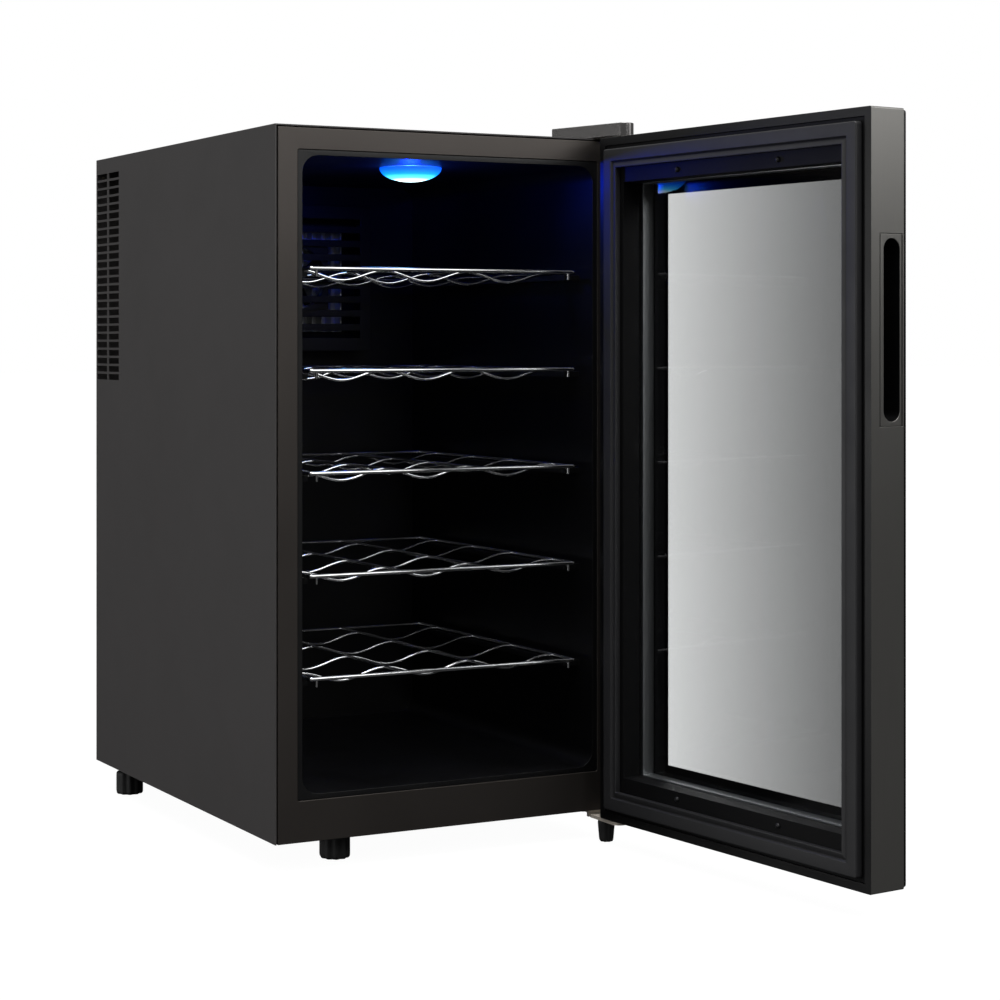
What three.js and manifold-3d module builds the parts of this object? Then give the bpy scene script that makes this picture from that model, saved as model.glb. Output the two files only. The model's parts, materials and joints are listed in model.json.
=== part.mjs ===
// A free-standing thermoelectric wine cooler for eighteen bottles, standing with its glass door open.
// Millimetres, +Z up. +X is the hinge side seen from the front, -Y is the front.
// The origin is the middle of the base panel's underside; the feet reach below it.
import * as THREE from 'three';
import { mergeVertices } from 'three/addons/utils/BufferGeometryUtils.js';
import Module from 'manifold-3d';

const wasm = await Module();
wasm.setup();

// ---- driving dimensions --------------------------------------------------------------------------
const GAP = 0.3; // clearance between pieces that seat on each other

// cabinet
const WIDTH = 348;
const DEPTH = 455;
const HEIGHT = 623;
const SHEET = 1.2; // shell steel
const SEAM = 1.2; // visible groove between the shell and the front frame
const FRAME_DEPTH = 10; // front frame, front to back
const SHELL_SETBACK = 0.6; // shell edge behind the face of the front frame
const WALL_SIDE = 26; // opening to the outside of the cabinet, sides and top
const WALL_BOTTOM = 41;
const MOUTH_RADIUS = 15; // corners of the opening
const LIP = 4.5; // liner lip seen round the opening
const LIP_SETBACK = 0.8; // lip behind the face of the front frame
const LIP_THICK = 2;
const LINER = 2; // liner wall
const MACHINE_ROOM = 69.5; // foam to the rear of the cabinet, deep enough for the hot side
const FOAM_REAR = 23; // foam behind the cavity
const END_BAY = 98; // height of the lowest and of the highest bay
const BULKHEAD = 1.5;
const REAR_SHEET = 1.2;
const REAR_FLANGE = 12; // shell edge turned in behind, where the rear panel is screwed
const BASE_SHEET = 2;
const PAD_WIDTH = 140; // flat pad in the middle of the base, inside a pressed groove
const PAD_LENGTH = 280;
const PAD_GROOVE = 6;
const PAD_GROOVE_DEPTH = 1;

// side slots
const SLOT_ROWS = 26;
const SLOT_PITCH = 8.24;
const SLOT_HEIGHT = 5.9;
const SLOT_LENGTH = 29.5;
const SLOT_TOP = 15.5; // from the top of the shell to the first slot
const SLOT_REAR_EDGE = 3; // from the rear edge of the shell to the last column
const SLOT_BAR = 5; // between the two columns

// shelves
const SHELF_COUNT = 5;
const SHELF_WIRE = 4; // wire that makes the outline
const CROSS_WIRE = 3;
const SHELF_SIDE_ROOM = 10.5; // liner wall to the side wire
const SHELF_SETBACK = 12.5; // front wire behind the cabinet's face
const SHELF_REAR_ROOM = 43; // rear wire to the back of the cavity
const SHELF_EDGE = 8.5; // side wire's outside to the first rest
const LENGTH_WIRE_UP = 0.4; // lengthways wires above the outline
const REST_DIP = 9; // how far a cross wire dips under a bottle
const CROSS_COUNT = 4;
const STOP_DROP = 7; // short stops under the front wire
const LEDGE_HEIGHT = 5;
const LEDGE_REACH = 16; // from the liner wall to the ledge's edge
const LEDGE_PAST = 4; // ledges run this far past the rear wire
const LEDGE_SETBACK = 12; // ledges start this far behind the front wire

// door
const DOOR_ANGLE = 95.5; // degrees open
const DOOR_GAP = 6; // front frame to the rim of the door
const DOOR_THICK = 39.4;
const DOOR_BOTTOM = -2.75;
const DOOR_TOP = HEIGHT - 1.8;
const PIN_FROM_SIDE = 9;
const PIN_FROM_RIM = 21;
const PIN_RADIUS = 3;
const PIN_DEPTH = 6.5; // pin inside the door
const BUSH_RADIUS = 5.3;
const BUSH_CLEARANCE = 0.3;
const DOOR_WALL = 7.5;
const GLASS = 3.2;
const DOOR_WEB = 12; // from the door's edge to the edge of the web behind the glass
const WEB_THICK = 3.5;
const GLASS_INSET = 1; // outer glass inside the door's outline
const INNER_FRAME_SIDE = 33; // from the door's edge to the reveal
const INNER_FRAME_END = 42;
const INNER_GLASS_DEPTH = 20; // rim to the inner pane
const INNER_GLASS_LAP = 9.5;
const SPACER_WIDTH = 10;
const GASKET_OUT = 11.3; // from the door's edge to the gasket
const GASKET_WIDTH = 17.5;
const GASKET_PROUD = 5.6;
const GASKET_ROOT = 5; // stem pressed into the groove
const GASKET_ROOT_DEPTH = 4.5;
const CUP_LENGTH = 153.2;
const CUP_MIDDLE = DOOR_TOP - 177.3;
const CUP_SHALLOW = 10.5; // rim plane to the near edge of the cup
const CUP_DEEP = 34;
const CUP_NEAR_GAP = 1.2; // finger-nail gap along the near edge
const CUP_INTO = 21;
const GRIP_LENGTH = 146;
const GRIP_WIDTH = 17.6;
const GRIP_DEEP = 18;
const GRIP_MIDDLE = 23; // rim plane to the middle of the recess

// hinges
const BRACKET = 3;
const BRACKET_LEFT = 18; // from the pin
const BRACKET_RIGHT = 7;
const PIN_HEAD_RADIUS = 5;
const PIN_HEAD = 2;
const COVER_HEIGHT = 12.3;
const COVER_WALL = 1.6;
const SCREW_RADIUS = 2; // shank
const SCREW_HEAD_RADIUS = 3.8;
const SCREW_HEAD = 2.2;

// feet
const FLOOR = -26;
const FOOT_RADIUS = 14;
const FOOT_FLUTES = 10;
const FOOT_FLUTE_DEPTH = 1.4;
const FOOT_X = WIDTH / 2 - 16;
const FOOT_REAR_Y = DEPTH / 2 - 55.5;
const FOOT_FRONT_X = 77 - WIDTH / 2;
const FOOT_FRONT_Y = 42.5 - DEPTH / 2;
const STUD_RADIUS = 4;
const STUD_UP = 12; // stud above the base's underside
const SMALL_FOOT_FROM_PIN = [-11, 13.5];
const SMALL_FOOT_TOP = 8.2;
const SMALL_FOOT_BOTTOM = 6.5;

// cooling unit
const UNIT_Z = HEIGHT - 123; // height of the module's middle
const MODULE = 40;
const MODULE_THICK = 4;
const COLD_BLOCK_LENGTH = 21;
const COLD_SINK = { width: 110, height: 110, base: 5, fin: 14, fins: 11, finThick: 1.4 };
const HOT_SINK = { width: 150, height: 150, base: 7, fin: 20, fins: 13, finThick: 1.6 };
const COLD_FAN = { size: 70, depth: 10, bore: 32, hub: 12, blades: 7, bossRadius: 9 };
const HOT_FAN = { size: 92, depth: 20, bore: 40, hub: 16, blades: 7, bossRadius: 12 };
const BLADE_THICK = 1.4;
const BLADE_CLEARANCE = 1.5;
const COVER_HALF = 82; // half width of the slatted cover in the cavity
const COVER_TALL = 150;
const FAN_COVER_DEPTH = 33;
const FAN_COVER_WALL = 2;
const SLATS = 9;

// lamp
const LAMP_X = 5;
const LAMP_FROM_FRONT = 91.5;
const LENS_RADIUS = 29;
const LENS_DROP = 13;
const LENS_WALL = 1.6;

// ---- places worked out from them ------------------------------------------------------------------
const halfW = WIDTH / 2;
const halfD = DEPTH / 2;
const front = -halfD;
const mouthHalf = halfW - WALL_SIDE;
const mouthBottom = WALL_BOTTOM;
const mouthTop = HEIGHT - WALL_SIDE;
const shellFront = front + SHELL_SETBACK;
const frameHalf = halfW - SHEET - SEAM;
const frameTop = HEIGHT - SHEET - SEAM;
const frameBack = front + FRAME_DEPTH;
const lipFront = front + LIP_SETBACK;
const pinX = halfW - PIN_FROM_SIDE;
const pinY = front - DOOR_GAP - PIN_FROM_RIM;
const rearInside = halfD - REAR_SHEET;
const foamBack = halfD - MACHINE_ROOM;
const cavityBack = foamBack - FOAM_REAR;
const bulkheadBack = foamBack + GAP + BULKHEAD;
const shelfHalf = mouthHalf - SHELF_SIDE_ROOM;
const shelfFront = front + SHELF_SETBACK;
const shelfRear = cavityBack - SHELF_REAR_ROOM;
const shelfPitch = (mouthTop - mouthBottom - 2 * END_BAY) / (SHELF_COUNT - 1);
const bottlePitch = (2 * (shelfHalf - SHELF_EDGE)) / 3;
const lampY = front + LAMP_FROM_FRONT;
const smallFoot = [pinX + SMALL_FOOT_FROM_PIN[0], pinY + SMALL_FOOT_FROM_PIN[1]];

// ---- materials -------------------------------------------------------------------------------------
const finish = (color, roughness, metalness) =>
  new THREE.MeshStandardMaterial({ color, roughness, metalness });
const paintedSteel = finish('#403e3f', 0.45, 0.3);
const frameFinish = finish('#4c4946', 0.4, 0.4);
const blackPlastic = finish('#101012', 0.5, 0);
const foamFinish = finish('#d8cf9c', 0.9, 0);
const zincSteel = finish('#a7a7a4', 0.35, 0.9);
const blackSteel = finish('#17171a', 0.45, 0.6);
const chromeWire = finish('#c9cacc', 0.15, 1);
const aluminium = finish('#b4b6b8', 0.4, 0.9);
const satinSteel = finish('#6f6c69', 0.35, 0.7);
const darkGlass = finish('#1b1d1f', 0.05, 0.1);
const gasketRubber = finish('#2a2a2d', 0.7, 0);
const boardGreen = finish('#1f4a30', 0.6, 0);
const lampBlue = finish('#3fd0f0', 0.3, 0);
const ceramicWhite = finish('#e8e6e0', 0.6, 0);
const footRubber = finish('#141414', 0.8, 0);

// ---- making solids ---------------------------------------------------------------------------------
function solid(geometry) {
  const bare = geometry.index ? geometry.toNonIndexed() : geometry.clone();
  bare.deleteAttribute('normal');
  bare.deleteAttribute('uv');
  const merged = mergeVertices(bare, 1e-4);
  return new wasm.Manifold(new wasm.Mesh({
    numProp: 3,
    vertProperties: new Float32Array(merged.attributes.position.array),
    triVerts: new Uint32Array(merged.index.array),
  }));
}

function geometryOf(manifold) {
  const mesh = manifold.getMesh();
  const geometry = new THREE.BufferGeometry();
  geometry.setAttribute('position', new THREE.BufferAttribute(new Float32Array(mesh.vertProperties), 3));
  geometry.setIndex(new THREE.BufferAttribute(new Uint32Array(mesh.triVerts), 1));
  return geometry.toNonIndexed();
}

const join = (...parts) => parts.reduce((sum, part) => sum.add(part));
const cut = (body, ...tools) => tools.reduce((sum, tool) => sum.subtract(tool), body);

/** A box between two corners. */
function box(x0, x1, y0, y1, z0, z1) {
  const geometry = new THREE.BoxGeometry(x1 - x0, y1 - y0, z1 - z0);
  geometry.translate((x0 + x1) / 2, (y0 + y1) / 2, (z0 + z1) / 2);
  return solid(geometry);
}

/** A cylinder or cone from a start point along one axis, with radii at its two ends. */
function rod(axis, at, length, radius, endRadius = radius, sides = 16) {
  const geometry = new THREE.CylinderGeometry(endRadius, radius, length, sides);
  geometry.translate(0, length / 2, 0);
  if (axis === 'x') geometry.rotateZ(-Math.PI / 2);
  if (axis === 'z') geometry.rotateX(Math.PI / 2);
  geometry.translate(...at);
  return solid(geometry);
}

/** A rectangle with round corners, in the plane of a shape. */
function roundRect(x0, x1, y0, y1, radius) {
  const shape = new THREE.Shape();
  shape.moveTo(x0 + radius, y0);
  shape.lineTo(x1 - radius, y0);
  shape.absarc(x1 - radius, y0 + radius, radius, -Math.PI / 2, 0);
  shape.lineTo(x1, y1 - radius);
  shape.absarc(x1 - radius, y1 - radius, radius, 0, Math.PI / 2);
  shape.lineTo(x0 + radius, y1);
  shape.absarc(x0 + radius, y1 - radius, radius, Math.PI / 2, Math.PI);
  shape.lineTo(x0, y0 + radius);
  shape.absarc(x0 + radius, y0 + radius, radius, Math.PI, 1.5 * Math.PI);
  return shape;
}

const flat = (depth, curveSegments) => ({ depth, bevelEnabled: false, steps: 1, curveSegments });

/** A shape drawn in x and z, standing from y0 back to y1. */
function standing(shape, y0, y1, curveSegments = 2) {
  const geometry = new THREE.ExtrudeGeometry(shape, flat(y1 - y0, curveSegments));
  geometry.rotateX(Math.PI / 2);
  geometry.translate(0, y1, 0);
  return solid(geometry);
}

/** A shape drawn in x and y, lying from z0 up to z1. */
function lying(shape, z0, z1, curveSegments = 2) {
  const geometry = new THREE.ExtrudeGeometry(shape, flat(z1 - z0, curveSegments));
  geometry.translate(0, 0, z0);
  return solid(geometry);
}

const root = new THREE.Group();
root.name = 'wine_cooler';

function place(name, manifold, material, parent = root) {
  const mesh = new THREE.Mesh(geometryOf(manifold), material);
  mesh.name = name;
  parent.add(mesh);
  return mesh;
}

// ---- cabinet ---------------------------------------------------------------------------------------
/** Sheet over the top and both sides, turned in at the rear, with two columns of slots in each side. */
function outerShell() {
  const inner = halfW - SHEET;
  const flangeBack = rearInside - GAP;
  let shell = cut(
    box(-halfW, halfW, shellFront, halfD, 0, HEIGHT),
    box(-inner, inner, shellFront - 1, halfD + 1, -1, HEIGHT - SHEET),
  );
  for (const side of [-1, 1]) {
    const edges = [side * inner, side * (inner - REAR_FLANGE)].sort((a, b) => a - b);
    const flange = box(edges[0] - 0.1, edges[1] + 0.1, flangeBack - SHEET, flangeBack,
      BASE_SHEET + GAP, HEIGHT - SHEET);
    shell = shell.add(flange);
    for (const z of rearScrewHeights()) {
      const hole = [side * rearScrewX(), flangeBack - SHEET - 1, z];
      shell = shell.subtract(rod('y', hole, SHEET + 2, SCREW_RADIUS + GAP, SCREW_RADIUS + GAP, 8));
    }
    const cutters = [];
    for (let row = 0; row < SLOT_ROWS; row += 1) {
      const top = HEIGHT - SLOT_TOP - row * SLOT_PITCH;
      for (const column of [0, 1]) {
        const back = halfD - SLOT_REAR_EDGE - column * (SLOT_LENGTH + SLOT_BAR);
        const across = side > 0 ? [inner - 0.5, halfW + 1] : [-halfW - 1, -inner + 0.5];
        cutters.push(box(...across, back - SLOT_LENGTH, back, top - SLOT_HEIGHT, top));
      }
    }
    shell = shell.subtract(wasm.Manifold.compose(cutters));
  }
  for (const [x, y] of topScrews()) {
    const start = [x, y, HEIGHT - SHEET - 1];
    shell = shell.subtract(rod('z', start, SHEET + 2, SCREW_RADIUS + GAP, SCREW_RADIUS + GAP, 8));
  }
  return shell;
}

const rearScrewX = () => halfW - SHEET - REAR_FLANGE / 2;
const rearScrewHeights = () => [HEIGHT * 0.03, HEIGHT * 0.97];
const topScrews = () => [[coverRear.x1 - 27, coverRear.y - 12], [coverRear.x1 - 9, coverRear.y - 12]];

/** Flat ring round the mouth, standing in front of the foam. */
function frontFrame() {
  const lipHalf = mouthHalf + LIP + GAP;
  return cut(
    box(-frameHalf, frameHalf, front, frameBack, 0, frameTop),
    standing(roundRect(-lipHalf, lipHalf, mouthBottom - LIP - GAP, mouthTop + LIP + GAP, 2),
      front - 1, frameBack + 1),
  );
}

/** Vacuum-formed box with its front lip and the shelf ledges. */
function innerLiner() {
  const wall = mouthHalf + LINER;
  const lipHalf = mouthHalf + LIP;
  let liner = join(
    standing(roundRect(-wall, wall, mouthBottom - LINER, mouthTop + LINER, MOUTH_RADIUS + LINER),
      lipFront + 0.5, cavityBack + LINER),
    standing(roundRect(-lipHalf, lipHalf, mouthBottom - LIP, mouthTop + LIP, 2),
      lipFront, lipFront + LIP_THICK),
  );
  liner = liner.subtract(standing(
    roundRect(-mouthHalf, mouthHalf, mouthBottom, mouthTop, MOUTH_RADIUS), lipFront - 1, cavityBack));
  for (let i = 0; i < SHELF_COUNT; i += 1) {
    const top = shelfZ(i) - SHELF_WIRE / 2 - GAP;
    for (const side of [-1, 1]) {
      const edges = [side * (mouthHalf + 0.5), side * (mouthHalf - LEDGE_REACH)].sort((a, b) => a - b);
      const reach = [shelfFront + LEDGE_SETBACK, shelfRear + LEDGE_PAST];
      liner = liner.add(box(...edges, ...reach, top - LEDGE_HEIGHT, top));
    }
  }
  const hole = MODULE / 2 + 1;
  return cut(liner,
    box(-hole, hole, cavityBack - 1, cavityBack + LINER + 1, UNIT_Z - hole, UNIT_Z + hole),
    rod('z', [LAMP_X, lampY, mouthTop - 1], LINER + 2, LENS_RADIUS - 8, LENS_RADIUS - 8, 24));
}

/** Height of a shelf's outline wire: the end bays are fixed and the rest share the height. */
const shelfZ = (i) => mouthBottom + END_BAY + i * shelfPitch;

/** Foam between the liner and the shell, with room for the block, the lamp and the fasteners. */
function foamInsulation() {
  const half = halfW - SHEET - GAP;
  const top = HEIGHT - SHEET - GAP;
  const inner = mouthHalf + LINER + GAP;
  const hole = MODULE / 2 + 1;
  let foam = cut(
    box(-half, half, frameBack + GAP, foamBack, BASE_SHEET + GAP, top),
    standing(roundRect(-inner, inner, mouthBottom - LINER - GAP, mouthTop + LINER + GAP, MOUTH_RADIUS + LINER),
      front, cavityBack + LINER + GAP),
    box(-hole, hole, cavityBack, foamBack + 1, UNIT_Z - hole, UNIT_Z + hole),
    rod('z', [LAMP_X, lampY, mouthTop], LINER + 8, LENS_RADIUS - 8, LENS_RADIUS - 8, 24),
  );
  for (const [x, y] of topScrews()) {
    foam = foam.subtract(rod('z', [x, y, top - 8], 9, SCREW_RADIUS + 1, SCREW_RADIUS + 1, 8));
  }
  for (const [x, y] of tallFeet()) {
    const well = rod('z', [x, y, 0], STUD_UP + 2, STUD_RADIUS + 1, STUD_RADIUS + 1, 12);
    if (y < foamBack) foam = foam.subtract(well);
  }
  for (const [x, y] of bottomScrews()) {
    foam = foam.subtract(rod('z', [x, y, 0], 10, SCREW_RADIUS + 1, SCREW_RADIUS + 1, 8));
  }
  return foam;
}

const tallFeet = () => [[FOOT_FRONT_X, FOOT_FRONT_Y], [-FOOT_X, FOOT_REAR_Y], [FOOT_X, FOOT_REAR_Y]];
const bottomScrews = () => [[pinX - 13, frameBack + 14], [pinX + 2, frameBack + 14]];

/** Steel base with a flat pad inside a pressed groove, drilled for the feet and the hinge screws. */
function basePanel() {
  const half = halfW - SHEET - GAP;
  const outer = [PAD_WIDTH / 2 + PAD_GROOVE, PAD_LENGTH / 2 + PAD_GROOVE];
  const groove = cut(
    box(-outer[0], outer[0], -outer[1], outer[1], -1, PAD_GROOVE_DEPTH),
    box(-PAD_WIDTH / 2, PAD_WIDTH / 2, -PAD_LENGTH / 2, PAD_LENGTH / 2, -2, PAD_GROOVE_DEPTH + 1),
  );
  let panel = cut(box(-half, half, frameBack + GAP, rearInside - GAP, 0, BASE_SHEET), groove);
  for (const [x, y] of tallFeet()) {
    panel = panel.subtract(rod('z', [x, y, -1], BASE_SHEET + 2, STUD_RADIUS + GAP, STUD_RADIUS + GAP, 16));
  }
  for (const [x, y] of bottomScrews()) {
    panel = panel.subtract(rod('z', [x, y, -1], BASE_SHEET + 2, SCREW_RADIUS + GAP, SCREW_RADIUS + GAP, 8));
  }
  return panel;
}

/** Steel plate that closes the foam and carries the hot-side sink. */
function rearBulkhead() {
  const half = halfW - SHEET - GAP;
  const hole = MODULE / 2 + 2;
  const y = foamBack + GAP;
  return cut(
    box(-half, half, y, y + BULKHEAD, BASE_SHEET + GAP, HEIGHT - SHEET - GAP),
    box(-hole, hole, y - 1, y + BULKHEAD + 1, UNIT_Z - hole, UNIT_Z + hole),
  );
}

const INLET = { x: halfW - 54, z: 60, width: 27, height: 20, depth: 18, flange: 5 };
const AIR_SLOTS = { rows: 9, pitch: 14, height: 5, half: 42, middle: 55, below: 270 };

/** Rear cover with a fan opening, low air slots and the cut-out for the mains inlet. */
function rearPanel() {
  const half = halfW - SHEET - GAP;
  let panel = cut(
    box(-half, half, rearInside, halfD, 0, HEIGHT - SHEET - GAP),
    rod('y', [0, rearInside - 1, UNIT_Z], REAR_SHEET + 2, HOT_FAN.bore, HOT_FAN.bore, 36),
    box(INLET.x - INLET.width / 2 - GAP, INLET.x + INLET.width / 2 + GAP, rearInside - 1, halfD + 1,
      INLET.z - INLET.height / 2 - GAP, INLET.z + INLET.height / 2 + GAP),
  );
  const slots = [];
  for (let row = 0; row < AIR_SLOTS.rows; row += 1) {
    const z = UNIT_Z - AIR_SLOTS.below + row * AIR_SLOTS.pitch;
    for (const x of [-AIR_SLOTS.middle, AIR_SLOTS.middle]) {
      slots.push(
        box(x - AIR_SLOTS.half, x + AIR_SLOTS.half, rearInside - 1, halfD + 1, z, z + AIR_SLOTS.height));
    }
  }
  panel = panel.subtract(wasm.Manifold.compose(slots));
  for (const side of [-1, 1]) {
    for (const z of rearScrewHeights()) {
      const hole = [side * rearScrewX(), rearInside - 1, z];
      panel = panel.subtract(rod('y', hole, REAR_SHEET + 2, SCREW_RADIUS + GAP, SCREW_RADIUS + GAP, 8));
    }
  }
  return panel;
}

/** Rings and spokes of bent wire behind the fan opening. */
function fanGuard() {
  const y = rearInside - GAP - 2;
  const rings = [14, 25, 36].map((radius) => cut(
    rod('y', [0, y - 1, UNIT_Z], 2, radius + 1, radius + 1, 16),
    rod('y', [0, y - 2, UNIT_Z], 4, radius - 1, radius - 1, 16),
  ));
  const spokes = [0, 1].map((turn) => {
    const bar = rod('x', [-HOT_FAN.bore - 4, 0, 0], 2 * (HOT_FAN.bore + 4), 1.1, 1.1, 6);
    return bar.rotate([0, 45 + turn * 90, 0]).translate([0, y, UNIT_Z]);
  });
  return join(...rings, ...spokes);
}

// ---- cooling unit ----------------------------------------------------------------------------------
/** Comb of flat fins on a base, its fins towards dir along Y. */
function heatSink(sink, baseY, dir) {
  const x0 = -sink.width / 2;
  const pitch = (sink.width - sink.finThick) / (sink.fins - 1);
  const ys = [baseY, baseY + dir * sink.base].sort((a, b) => a - b);
  let body = box(x0, -x0, ...ys, UNIT_Z - sink.height / 2, UNIT_Z + sink.height / 2);
  for (let i = 0; i < sink.fins; i += 1) {
    const x = x0 + i * pitch;
    const fin = [baseY + dir * (sink.base - 0.5), baseY + dir * (sink.base + sink.fin)].sort((a, b) => a - b);
    body = body.add(box(x, x + sink.finThick, ...fin, UNIT_Z - sink.height / 2, UNIT_Z + sink.height / 2));
  }
  return body;
}

/** Square fan housing with a round bore and three arms that hold the motor boss. */
function fanFrame(fan, y0) {
  const half = fan.size / 2;
  const bearing = 2.5;
  let frame = cut(
    standing(roundRect(-half, half, UNIT_Z - half, UNIT_Z + half, 5), y0, y0 + fan.depth),
    rod('y', [0, y0 - 1, UNIT_Z], fan.depth + 2, fan.bore, fan.bore, 28),
  );
  const back = y0 + fan.depth - 2;
  frame = frame.add(rod('y', [0, back, UNIT_Z], 2, fan.bossRadius, fan.bossRadius, 20));
  for (let i = 0; i < 3; i += 1) {
    const arm = box(0, fan.bore + 1, -1.5, 1.5, -2, 2);
    frame = frame.add(arm.rotate([0, 90 + i * 120, 0]).translate([0, back + 1, UNIT_Z])
      .intersect(box(-half, half, back, back + 2, UNIT_Z - half, UNIT_Z + half)));
  }
  return frame.subtract(rod('y', [0, back - 1, UNIT_Z], 4, bearing, bearing, 12));
}

/** Hub, shaft and pitched blades that turn inside a fan housing. */
function fanRotor(fan, y0) {
  const hubDepth = fan.depth - 2 - 1;
  let rotor = join(
    rod('y', [0, y0 + 0.6, UNIT_Z], hubDepth - 0.6, fan.hub, fan.hub, 24),
    rod('y', [0, y0 + hubDepth - 0.5, UNIT_Z], 2.5, 2.2, 2.2, 12),
  );
  const span = fan.bore - BLADE_CLEARANCE - fan.hub + 2;
  const reach = (hubDepth - 1.5) * 0.62;
  for (let i = 0; i < fan.blades; i += 1) {
    const blade = box(-reach, reach, -BLADE_THICK / 2, BLADE_THICK / 2, fan.hub - 2, fan.hub - 2 + span)
      .rotate([0, 0, 38])
      .rotate([0, (i * 360) / fan.blades, 0])
      .translate([0, y0 + 0.6 + hubDepth / 2, UNIT_Z]);
    rotor = rotor.add(blade);
  }
  const tip = fan.bore - BLADE_CLEARANCE;
  return rotor.intersect(rod('y', [0, y0 + 0.6, UNIT_Z], hubDepth + 1.4, tip, tip, 28));
}

/** A square slab of the module's size. */
const moduleSlab = (y, thick) =>
  box(-MODULE / 2, MODULE / 2, y, y + thick, UNIT_Z - MODULE / 2, UNIT_Z + MODULE / 2);

const coldSinkBack = cavityBack - GAP;
const coldFanY = coldSinkBack - COLD_SINK.base - COLD_SINK.fin - GAP - COLD_FAN.depth;
const blockY = cavityBack;
const moduleY = blockY + COLD_BLOCK_LENGTH + GAP;
const hotSinkY = moduleY + MODULE_THICK + GAP;
const hotFanY = hotSinkY + HOT_SINK.base + HOT_SINK.fin + GAP;

/** Open box over the cold side, with slats across its front. */
function innerFanCover() {
  const y0 = coldSinkBack - FAN_COVER_DEPTH;
  const z0 = UNIT_Z - COVER_TALL / 2;
  const z1 = UNIT_Z + COVER_TALL / 2;
  let cover = cut(
    box(-COVER_HALF, COVER_HALF, y0, coldSinkBack, z0, z1),
    box(-COVER_HALF + FAN_COVER_WALL, COVER_HALF - FAN_COVER_WALL, y0 + FAN_COVER_WALL, coldSinkBack + 1,
      z0 + FAN_COVER_WALL, z1 - FAN_COVER_WALL),
  );
  const pitch = (COVER_TALL - 20) / SLATS;
  for (let i = 0; i < SLATS; i += 1) {
    const z = z0 + 10 + i * pitch;
    cover = cover.subtract(box(-COVER_HALF + 12, COVER_HALF - 12, y0 - 1, y0 + FAN_COVER_WALL + 1,
      z + pitch * 0.25, z + pitch * 0.75));
  }
  return cover;
}

const SUPPLY = { x: 24 - halfW, z: 50, width: 100, height: 120, depth: 38, wall: 1.5 };
const BOARD_X = SUPPLY.x + SUPPLY.width + 20;

/** Vented steel case, open at its wiring end. */
function powerSupply() {
  const { x, z, width, height, depth, wall } = SUPPLY;
  const y = bulkheadBack + 4;
  const vents = [0, 1, 2, 3, 4].map((i) => {
    const left = x + 10 + i * 18;
    return box(left, left + 8, y + depth - 8, y + depth + 2, z + 40, z + 90);
  });
  return cut(
    box(x, x + width, y, y + depth, z, z + height),
    box(x + wall, x + width + 1, y + wall, y + depth - wall, z + wall, z + height - wall),
    ...vents,
  );
}

/** Board with its relay, regulator and two capacitors. */
function controlBoard() {
  const x = BOARD_X;
  const y = bulkheadBack + 5;
  const z = SUPPLY.z + 10;
  return join(
    box(x, x + 90, y, y + 1.6, z, z + 90),
    box(x + 10, x + 30, y + 1, y + 17, z + 15, z + 40),
    box(x + 45, x + 75, y + 1, y + 12, z + 55, z + 80),
    rod('y', [x + 50, y + 1, z + 25], 20, 6, 6, 16),
    rod('y', [x + 70, y + 1, z + 25], 20, 6, 6, 16),
  );
}

/** Three-pin appliance inlet behind the rear panel, its mouth in the cut-out. */
function inletSocket() {
  const { x, z, width, height, depth, flange } = INLET;
  const y1 = halfD - GAP;
  const seat = rearInside - GAP;
  let socket = join(
    box(x - width / 2, x + width / 2, y1 - depth, y1, z - height / 2, z + height / 2),
    box(x - width / 2 - flange, x + width / 2 + flange, seat - 2, seat, z - height / 2 - 2, z + height / 2 + 2),
  );
  socket = socket.subtract(box(x - width / 2 + 2, x + width / 2 - 2, y1 - depth + 3, y1 + 1,
    z - height / 2 + 2, z + height / 2 - 2));
  for (const [dx, dz] of [[-7, 2], [7, 2], [0, -2]]) {
    socket = socket.add(box(x + dx - 1, x + dx + 1, y1 - depth + 2, y1 - 3, z + dz - 2, z + dz + 2));
  }
  return socket;
}

// ---- lamp ------------------------------------------------------------------------------------------
/** Frosted dome under the ceiling, hollow and open above. */
function lampLens() {
  const outline = (radius, drop, z) => {
    const points = [new THREE.Vector2(0, z - drop)];
    for (let i = 1; i <= 5; i += 1) {
      const a = (i / 5) * (Math.PI / 2);
      points.push(new THREE.Vector2(radius * Math.sin(a), z - drop * Math.cos(a)));
    }
    points.push(new THREE.Vector2(0, z));
    return points;
  };
  const dome = (radius, drop, z) => {
    const lathe = new THREE.LatheGeometry(outline(radius, drop, z), 20);
    lathe.rotateX(Math.PI / 2);
    lathe.translate(LAMP_X, lampY, 0);
    return solid(lathe);
  };
  const rim = mouthTop - GAP;
  return cut(dome(LENS_RADIUS, LENS_DROP, rim),
    dome(LENS_RADIUS - LENS_WALL, LENS_DROP - LENS_WALL, rim + 0.01));
}

/** Round board with three emitters facing down, in the recess above the lens. */
function ledBoard() {
  const z = mouthTop + LINER + 1;
  const emitters = [0, 1, 2].map((i) => {
    const a = (i * 2 * Math.PI) / 3;
    const [x, y] = [LAMP_X + 9 * Math.cos(a), lampY + 9 * Math.sin(a)];
    return box(x - 2.5, x + 2.5, y - 2.5, y + 2.5, z - 1.5, z + 0.5);
  });
  return join(rod('z', [LAMP_X, lampY, z], 1.6, LENS_RADIUS - 10, LENS_RADIUS - 10, 24), ...emitters);
}

// ---- shelves ---------------------------------------------------------------------------------------
/** Wire that dips under each of the three bottles. */
class WavyWire extends THREE.Curve {
  constructor(half, y, z) {
    super();
    this.half = half;
    this.y = y;
    this.z = z;
  }

  getPoint(t, target = new THREE.Vector3()) {
    const x = (2 * t - 1) * this.half;
    const inWave = Math.abs(x) < 1.5 * bottlePitch;
    const dip = inWave ? (REST_DIP * (1 + Math.cos((2 * Math.PI * x) / bottlePitch))) / 2 : 0;
    return target.set(x, this.y, this.z - dip);
  }
}

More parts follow.
